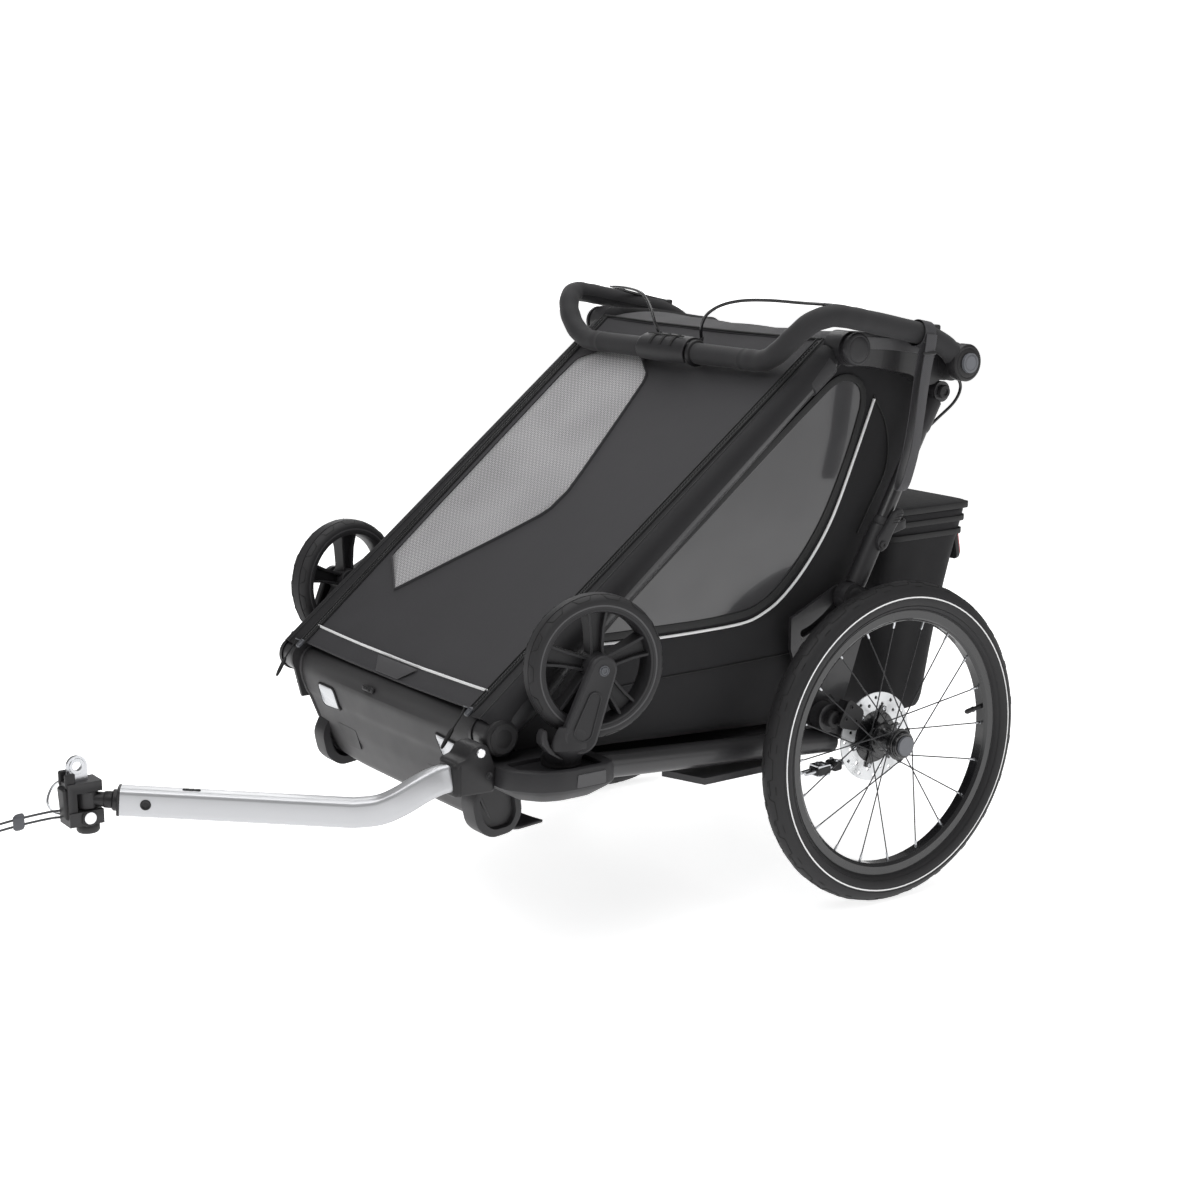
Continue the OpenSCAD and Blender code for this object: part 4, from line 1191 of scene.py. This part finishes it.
# ---------------------------------------------------------------- upper joints
def upper_joint(name, side):
    """Link cap, blank badge and bolt covers at the top of each side."""
    cap = lathe([(-5, 24.5), (0, 24.5), (2.2, 23.2), (3.4, 20.4), (3.0, 19.0), (3.9, 17.6), (5.0, 11),
                 (5.3, 4)],
                (331, *JOINT[1:]), 48)
    piece(f"link_cap_{name}", sided(cap, side), GREY, "upper_frame", bevel=0.3)
    line = smooth([(-36, 858), (20, 853), (70, 846), (112, 836)], 6)
    outline = np.vstack([line + (0, 9), line[::-1] - (0, 9)])
    plate = rounded(outline[::-1], 5, 3)
    rings = [np.column_stack([np.full(len(plate), x), p]) for x, p in
             ((315, plate), (319, plate), (320.2, plate.mean(0) + (plate - plate.mean(0)) * 0.975))]
    piece(f"link_plate_{name}", sided(loft(rings), side), PANEL, "upper_frame", bevel=0.3)
    bolt = lathe([(0, 10.5), (3.4, 10.5), (4.4, 9.4), (4.4, 5.6), (2.2, 5.2), (2.2, 0.4)], (323, 128, 775),
                 28)
    piece(f"strut_bolt_{name}", sided(bolt, side), BLACK, "upper_frame", bevel=0.3)
    d = unit(np.array([JOINT[1] - HINGE[1], JOINT[2] - HINGE[2]]))
    ring = [JOINT + (290, *(-d * t)) for t in (86, 84, 40, 34)]
    piece(f"tube_socket_{name}", sided(tube(ring, [18.4, 20.6, 21.6, 21.8], 32), side), GREY, "upper_frame",
          bevel=0.6)


def strut_detail(name, side):
    """Sleeve, latch band and hub around a folding strut."""
    top, foot = np.array([128.0, 775.0]), np.array([-40.0, 472.0])
    d = unit(foot - top)
    at = lambda t: (308, *(top + d * t))
    sleeve = tube([at(t) for t in (226, 229, 250, 318, 326)], [12.2, 14.8, 15.4, 15.6, 14.8], 32)
    ring = tube([at(t) for t in (214, 216, 226, 228)], [12.2, 13.4, 13.4, 12.2], 32)
    upper = tube([at(t) for t in (14, 17, 60, 66)], [12.2, 14.2, 13.6, 12.2], 32)
    piece(f"strut_sleeve_{name}", sided(merged([sleeve, ring, upper]), side), GREY, "struts", bevel=0.5)
    foot_cap = lathe([(-12, 23.4), (-1, 23.4), (1.5, 22), (2.6, 18), (2.2, 16.4), (3.2, 15), (4.0, 8),
                      (4.2, 4)],
                     (319, *foot), 48)
    piece(f"strut_foot_cap_{name}", sided(foot_cap, side), GREY, "struts", bevel=0.4)
    pin = lathe([(-2, 6.4), (2.0, 6.4), (2.8, 5.4), (2.8, 2.4), (1.6, 2.2), (1.6, 0.4)], (330.2, 4, 551), 20)
    piece(f"latch_pin_{name}", sided(pin, side), BLACK, "struts", bevel=0.2)


def latch(name, side):
    top, foot = np.array([128.0, 775.0]), np.array([-40.0, 472.0])
    d = unit(top - foot)
    across = np.array([d[1], -d[0]])
    at = np.array([4.0, 551.0])
    outline = [at - d * 12 + across * 4, at + across * 12.5, at + d * 30 + across * 12,
               at + d * 60 + across * 17,
               at + d * 66 + across * 8, at + d * 52 - across * 3, at + d * 24 - across * 6, at - across * 12]
    shape = rounded(np.array(outline)[::-1], 9, 5)
    if polygon_area(shape) < 0:
        shape = shape[::-1]
    rings = [np.column_stack([np.full(len(shape), x), o]) for x, o in
             ((321.7, inset(shape, 1.2)), (323, shape), (328.4, shape), (330.2, inset(shape, 2.0)),
              (330.6, inset(shape, 4.4)))]
    lever = piece(f"latch_lever_{name}", sided(loft(rings), side), GREY, f"fold_latch_{name}")
    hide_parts(f"fold_latch_{name}")
    ridges = [block((330.6, *(at + d * t + across * (4 + 0.1 * t))), (1.6, 14, 1.6), 0.5)
              for t in (40, 45, 50, 55)]
    piece(f"latch_ribs_{name}", sided(merged(ridges), side), BLACK, f"fold_latch_{name}", bevel=0.2)


def polygon_area(p):
    return 0.5 * float(np.sum(p[:, 0] * np.roll(p[:, 1], -1) - np.roll(p[:, 0], -1) * p[:, 1]))


# ---------------------------------------------------------------- handlebar
BAR_SIDE = [(335, 138, 827), (335, 116, 846), (335, 70, 866), (335, -30, 888), (334, -74, 897),
            (329, -106, 901),
            (312, -130, 892), (290, -145, 870), (262, -151, 846), (230, -151, 831), (196, -151, 829),
            (180, -151, 829)]


def handlebar():
    foam, caps = [], []
    for q in (1, -1):
        line = smooth(np.array(BAR_SIDE) * (q, 1, 1), 8)
        line = np.vstack([line, [(q * x, -151, 829) for x in (150, 120, 90, 68)]])
        radii = 16.5 + 0.25 * np.sin(np.arange(len(line)) * 0.9)
        foam.append(tube(line, radii, 28))
        caps.append(lathe([(q * dx, r) for dx,
                           r in ((0, 17.2), (-1.5, 20), (-4, 21.2), (-7, 21.2), (-9, 19.5), (-9.5, 14))],
                          (q * 69, -151, 829), 32))
        hub = lathe([(q * dx, r) for dx, r in ((-22, 24), (-20, 27.6), (-17, 28.6), (-3, 28.6), (-0.8, 27.2),
                                               (0.2, 24.2), (-0.4, 22.6),
                                              (0.6, 20.4), (0.8, 15.6))], (q * 352, *BAR_PIVOT[1:]), 48)
        caps.append(hub)
    grip = piece("handlebar_foam", merged(foam), FOAM, "handlebar")
    piece("handlebar_core", merged([tube([(x, -151, 829) for x in (-70, -30, 0, 30, 70)], 12.4, 28)]), PAINT,
          "handlebar")
    piece("handlebar_hubs", merged(caps), BLACK, "handlebar", bevel=0.5)
    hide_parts("handlebar")
    seams = []
    for q in (1, -1):
        line = smooth(np.array(BAR_SIDE) * (q, 1, 1), 8)[8:-6]
        seams.append(tube(line + (-q * 16.2, 3, -4.5), 0.8, 6))
    piece("handlebar_seam", merged(seams), TRIM, "handlebar")
    buttons = [lathe([(q * dx, r) for dx,
                      r in ((-1.5, 14.6), (5, 14.6), (6, 13.4), (6.3, 10.4), (5.4, 9.4), (5.6, 4))],
                     (q * 352, *BAR_PIVOT[1:]), 40) for q in (1, -1)]
    for q, made, name in zip((1, -1), buttons, ("left", "right")):
        piece(f"pivot_face_{name}", made, BUTTON, f"pivot_button_{name}", bevel=0.3)


def brake_lever():
    """The trigger: a half shell around the bar with three slots and an end web on each side."""
    lean = math.radians(38.6)
    shell = []
    for x in np.linspace(-59, 59, 25):
        bulge = 1.5 * (1 - (x / 59) ** 2)
        row = []
        for r in (24 + bulge, 20.6):
            angles = np.linspace(-2, 182, 25) if r > 21 else np.linspace(182, -2, 25)
            row += [(x, r * math.cos(math.radians(t)), r * math.sin(math.radians(t))) for t in angles]
        shell.append(row)
    verts, faces = loft(np.array(shell))
    part = turned((verts, faces), lean, "X")
    lever = piece("brake_lever_shell", moved(part, (0, -151, 829)), GREY, "brake_lever",
                  bevel=0.7)
    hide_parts("brake_lever")
    slots = []
    for x in (-26, 0, 26):
        strip = [(x + dx, 25.9 * math.cos(math.radians(t)), 25.9 * math.sin(math.radians(t)))
                 for t in np.linspace(55, 118, 12) for dx in (0,)]
        slots.append(sweep(strip, rounded([[-3.4, -0.5], [3.4, -0.5], [3.4, 0.5], [-3.4, 0.5]], 0.4, 2)))
    slots.append(block((0, 8, 25.6), (92, 3, 1.2), 0.4))
    part = turned(merged(slots), lean, "X")
    piece("brake_lever_slots", moved(part, (0, -151, 829)), GROOVE, "brake_lever")


# ---------------------------------------------------------------- cables and strap
BAR_CABLE = [(54, -133, 850), (60, -138, 868), (72, -137, 888), (95, -129, 903), (130, -117, 912),
             (180, -104, 915),
             (240, -90, 914), (290, -58, 911), (316, -8, 899), (329, 50, 886), (334, 92, 877)]
FRAME_CABLE = [(302, 172, 800), (304, 183, 778), (302, 172, 754), (294, 140, 726), (287, 104, 694),
               (281, 62, 620),
               (280, 20, 545), (280, -18, 470), (280, -34, 410), (280, -48, 350), (286, -60, 322),
               (300, -62, 312)]


def cables():
    bar, low, ends = [], [], []
    for q in (1, -1):
        bar.append(tube(smooth(np.array(BAR_CABLE) * (q, 1, 1), 9), 2.5, 14))
        low.append(tube(smooth(np.array(FRAME_CABLE) * (q, 1, 1), 9), 2.5, 14))
        start = np.array(BAR_CABLE[0]) * (q, 1, 1)
        ends.append(tube([start + (0, -2, -9), start + (0, 0, 0), start + (q * 0.6, 0.6, 4)],
                         [3.6, 3.6, 3.0], 14))
        last = np.array(BAR_CABLE[-1]) * (q, 1, 1)
        ends.append(block(last + (0, 2, -2), (13, 16, 9), 2))
    housing = piece("bar_cable_housings", merged(bar), GLOSS, "handlebar")
    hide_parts("bar_cables")
    piece("bar_cable_ends", merged(ends), GREY, "handlebar", bevel=0.5)
    lower = piece("frame_cable_housings", merged(low), GLOSS)
    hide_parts("frame_cables")
    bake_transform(lower)


def wrist_strap():
    """Webbing that hangs in a long flat loop from a band around the left side of the bar."""
    centre = np.array([(359, 65, 868), (359, 62, 846), (358, 54, 800), (358, 47, 750), (358, 39, 700),
                       (358, 28, 664), (357, 20, 644),
                       (352, 17, 636), (346, 18, 640), (343, 24, 660), (344, 36, 700), (346, 45, 750),
                       (347, 53, 800),
                       (348, 60, 836), (350, 64, 852)], float)
    line = smooth(centre, 6)
    t = np.gradient(line, axis=0)
    t /= np.linalg.norm(t, axis=1)[:, None]
    wide = np.array([0.0, 1.0, 0.0]) - t * t[:, 1:2]
    wide /= np.linalg.norm(wide, axis=1)[:, None]
    face = np.cross(wide, t)
    run = np.linspace(0, 1, len(line))
    half = 10.5 + 1.6 * np.sin(run * 9)
    twist = 0.25 * np.sin(run * 7)
    rings = []
    for p, w, f, h, k in zip(line, wide, face, half, twist):
        w2 = w * math.cos(k) + f * math.sin(k)
        f2 = np.cross(w2, np.cross(w, f))
        ring = rounded([[-h, -0.8], [h, -0.8], [h, 0.8], [-h, 0.8]], 0.6, 2)
        rings.append(p + ring[:, :1] * w2 + ring[:, 1:] * f2)
    belt = piece("wrist_strap_webbing", loft(rings), WEB, "handlebar")
    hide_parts("wrist_strap")
    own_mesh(belt)
    along = unit(np.array([0.0, 88, -18]))
    up = np.cross(along, (1.0, 0, 0))
    hub = np.array([335.0, 66, 867])
    rings = []
    for r, y in ((19.2, -11), (20.6, -11), (20.6, 11), (19.2, 11)):
        rings.append([hub + along * y + r * (math.cos(a) * np.array([1.0, 0, 0]) + math.sin(a) * up)
                      for a in np.linspace(0, 2 * math.pi, 48, endpoint=False)])
    piece("wrist_strap_band", grid(rings, wrap_rows=True, wrap_columns=True), WEB, "handlebar", bevel=0.4)
    piece("wrist_strap_slider", block((359.5, 60, 840), (5, 27, 5), 1.2), BLACK, "handlebar", bevel=0.4)


# ---------------------------------------------------------------- tow arm and hitch
HITCH = np.array([78.0, -1174.0, 300.0])
TOW_PATH = [HITCH + (22, 36, -4), (252, -872, 269), (270, -842, 272), (284, -818, 283), (294, -792, 298),
            (299, -772, 306),
            (300, -755, 308), (300, -702, 308)]


def tow_arm():
    path = np.array(TOW_PATH, float)
    curve = np.vstack([path[:1], smooth(path[1:], 5)])
    square = rounded([[-15, -19], [15, -19], [15, 19], [-15, 19]], 8, 3)
    arm = piece("tow_arm_tube", sweep(curve, square), SILVER, "tow_arm", bevel=0.4)
    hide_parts("tow_arm")
    d = unit(path[1] - path[0])
    side = unit(np.cross(d, (0, 0, 1)))
    up = np.cross(side, d)

    def band(t, grow):
        return path[0] + d * t + (square[:, :1] + np.sign(square[:, :1]) * grow) * side + (
            square[:, 1:] + np.sign(square[:, 1:]) * grow) * up

    cap = loft([band(-2.2, -2.5), band(-1.8, 0.3), band(1.4, 0.5), band(2.0, 0.1)][::-1])
    piece("tow_arm_cap", cap, BLACK, "tow_arm", bevel=0.3)
    bolts = []
    at = path[0] + d * 36 + side * 14.8
    for h, s in ((0, 1.0), (1.2, 1.0), (1.8, 0.86), (1.2, 0.6), (0.6, 0.5)):
        bolts.append(at + side * h + np.array([7.2 * s * (d * math.cos(a) + up * math.sin(a))
                                               for a in np.linspace(0, 2 * math.pi, 25)[:-1]]))
    piece("tow_arm_bolt", loft(bolts), BLACK, "tow_arm", bevel=0.1)
    tabs = []
    for t in (86, 93, 101):
        at = path[0] + d * t + up * 19
        tabs.append(turned(block(at, (5, 9, 3.4), 1), math.atan2(-d[0], d[1]), "Z", at))
    piece("tow_arm_studs", merged(tabs), BLACK, "tow_arm", bevel=0.4)
    tip = lathe([(-11, 6.4), (4.2, 6.4), (5.2, 5.6), (5.5, 2)], (320, -713, 341.5), 24)
    piece("tow_button_face", tip, BRIGHT, "tow_button", bevel=0.2)
    outline = rounded([[-752, 284], [-690, 282], [-688, 318], [-694, 334], [-699, 348], [-706, 352],
                       [-720, 352],
                       [-728, 347], [-734, 337], [-752, 333]], 7, 4)
    if polygon_area(outline) < 0:
        outline = outline[::-1]
    rings = [np.column_stack([np.full(len(outline), x), inset(outline, k)]) for x, k in
             ((274, 3.5), (276, 1.2), (280, 0), (316, 0), (320.4, 1.4), (322, 4.2))]
    socket = piece("tow_socket_body", loft(rings), BLACK, "chassis", crisp=30)
    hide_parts("tow_socket")
    lip = loft([np.column_stack([o[:, 0], np.full(len(o), y), o[:, 1]]) for y, o in (
        (-754.5, rounded([[282, 286.5], [318, 286.5], [318, 329.5], [282, 329.5]], 8)),
        (-751, rounded([[279, 284], [321, 284], [321, 332], [279, 332]], 8)),
        (-744, rounded([[277, 283], [323, 283], [323, 333], [277, 333]], 8)))])
    piece("tow_socket_lip", lip, BLACK, "chassis", bevel=0.4)
    ring = lathe([(-3, 10.4), (0.5, 10.4), (1.6, 9.4), (1.2, 7.4), (-1, 7)], (320.5, -713, 341.5), 32)
    screw = lathe([(0, 5.4), (1.4, 5.2), (1.8, 4.4), (1.0, 3.4), (1.0, 0.4)], (321.8, -700, 308), 20)
    piece("tow_socket_screw", merged([screw, ring]), GREY, "chassis", bevel=0.2)


def hitch():
    """Prongs, knob, pin loop, washers and the lock's face."""
    plate = []
    for q in (-1, 1):
        plate.append(block(HITCH + (q * 11, -26, 30), (6, 14, 20), 1.6))
    plate.append(turned(block(HITCH + (0, -31, 0), (24, 8, 44), 2.4), 0.06, "X", HITCH))
    piece("hitch_cheeks", merged(plate), BLACK, "hitch_body", bevel=0.8)
    at = HITCH + (0, 0, -34)
    knob = turned(lathe([(-2, 14), (3, 15.5), (9, 15.5), (12, 13.5), (13, 7)], at, 24), math.pi / 2, "Y", at)
    piece("hitch_knob", knob, BLACK, "hitch_body", bevel=0.8)
    oval = rounded([[-11, -11], [9, -11], [9, 9.2], [-11, 9.2]], 8, 5)
    face = [np.column_stack([np.full(len(oval), x), oval * s + (HITCH[1] - 4, HITCH[2] - 22)]) for x, s in
            ((HITCH[0] + 17, 1.0), (HITCH[0] + 19.4, 1.0), (HITCH[0] + 20.2, 0.92))]
    piece("lock_bezel", loft(face), BLACK, "hitch_body", bevel=0.4)
    dot = lathe([(15.5, 7.8), (20.9, 7.8), (21.6, 7.0), (21.7, 3)], HITCH + (0, -4, -22), 28)
    piece("lock_face", dot, BRIGHT, "lock_button", bevel=0.2)
    hole = HITCH + (-0.0, -12, 46)
    ring = [lathe([(q * 2.4, 6.1), (q * 3.6, 6.4), (q * 3.6, 10.5), (q * 2.4, 11)], hole, 32, closed=True)
            for q in (1, -1)]
    piece("axle_plate_rings", merged(ring), STEEL, "hitch_body", bevel=0.2)
    loop = smooth([HITCH + p for p in ((-17, -18, 18), (-30, -24, 20), (-36, -34, 10), (-32, -42, -6),
                                       (-20, -40, -16),
                                       (-14, -32, -20))], 7)
    piece("pin_loop", tube(loop, 1.6, 10), STEEL, "hitch_body")
    neck = np.array(TOW_PATH[0], float)
    way = unit(neck - TOW_PATH[1])
    sleeve = tube([neck + way * t for t in (0.6, 2, 7, 9, 18, 20)], [12, 14.5, 14.5, 11.6, 11.2, 10], 28)
    piece("yoke_sleeve", sleeve, BLACK, "hitch_yoke", bevel=0.5)


# ---------------------------------------------------------------- finishes of the frame's own nodes
CAD_FINISH = {
    "side_rails": (PAINT, "painted_frame"), "rear_crossbar": (PAINT, "painted_frame"), 
    "foot_plates": (GREY, "moulded_grey"), "front_hubs": (BLACK, "moulded_black"),
    "front_tubes": (PAINT, "painted_frame"), "top_link_left": (PAINT, "painted_frame"),
    "top_link_right": (PAINT, "painted_frame"), "top_crossbar": (PAINT, "painted_frame"),
    "strut_left": (PAINT, "painted_frame"), "strut_right": (PAINT, "painted_frame"),
    "pivot_button_left": (BUTTON, "button_grey"), "pivot_button_right": (BUTTON, "button_grey"),
    "swing_arm_left": (PAINT, "painted_frame"), "swing_arm_right": (PAINT, "painted_frame"),
    "leaf_spring_left": (STEEL, "spring_steel"), "leaf_spring_right": (STEEL, "spring_steel"),
    "rim_left": (GLOSS, "rim_black"), "rim_right": (GLOSS, "rim_black"),
    "spokes_left": (SPOKE, "hub_black"), "spokes_right": (SPOKE, "hub_black"),
    "hub_left": (GLOSS, "hub_black"), "hub_right": (GLOSS, "hub_black"),
    "brake_disc_left": (DISC, "disc_steel"), "brake_disc_right": (DISC, "disc_steel"),
    "release_button_left": (BUTTON, "button_grey"), "release_button_right": (BUTTON, "button_grey"),
    "tow_button": (BRIGHT, "button_silver"), "hitch_yoke": (BLACK, "moulded_black"),
    "hitch_body": (BLACK, "moulded_black"),
    "axle_plate": (STEEL, "spring_steel"), "lock_button": (BRIGHT, "button_silver"),
}
SOFT_EDGES = {"foot_plates": 1.5, "top_link_left": 2.0, "top_link_right": 2.0, "side_rails": 0.8,
              "hitch_body": 2.0, "swing_arm_left": 1.2, "swing_arm_right": 1.2, "leaf_spring_left": 1.0,
              "leaf_spring_right": 1.0, "front_hubs": 1.2, "axle_plate": 0.5}


def dress_nodes():
    for name, (finish_of, slot) in CAD_FINISH.items():
        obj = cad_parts[name]
        obj.data.materials.clear()
        obj.data.materials.append(finish_of)
        obj.data.shade_smooth()
        obj.data.set_sharp_from_angle(angle=math.radians(28))
        if name in SOFT_EDGES:
            m = obj.modifiers.new("edges", "BEVEL")
            m.width, m.segments, m.limit_method = SOFT_EDGES[name] / 1000, 3, "ANGLE"
            m.angle_limit = math.radians(40)


front_cover()
zips()
canopy()
side_panels()
tube_sleeves()
seats()
cargo_bag()
cargo_lid()
for side_name, side_sign in SIDES:
    rear_wheel(side_name, side_sign)
    suspension(side_name, side_sign)
    caster(side_name, side_sign)
    front_corner(side_name, side_sign)
    upper_joint(side_name, side_sign)
    strut_detail(side_name, side_sign)
    latch(side_name, side_sign)
bumper()
skid_loops()
near_dock = dock("left", 1, -690)
dock("right", -1, -650)
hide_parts("docks")
handlebar()
brake_lever()
cables()
wrist_strap()
tow_arm()
hitch()
dress_nodes()
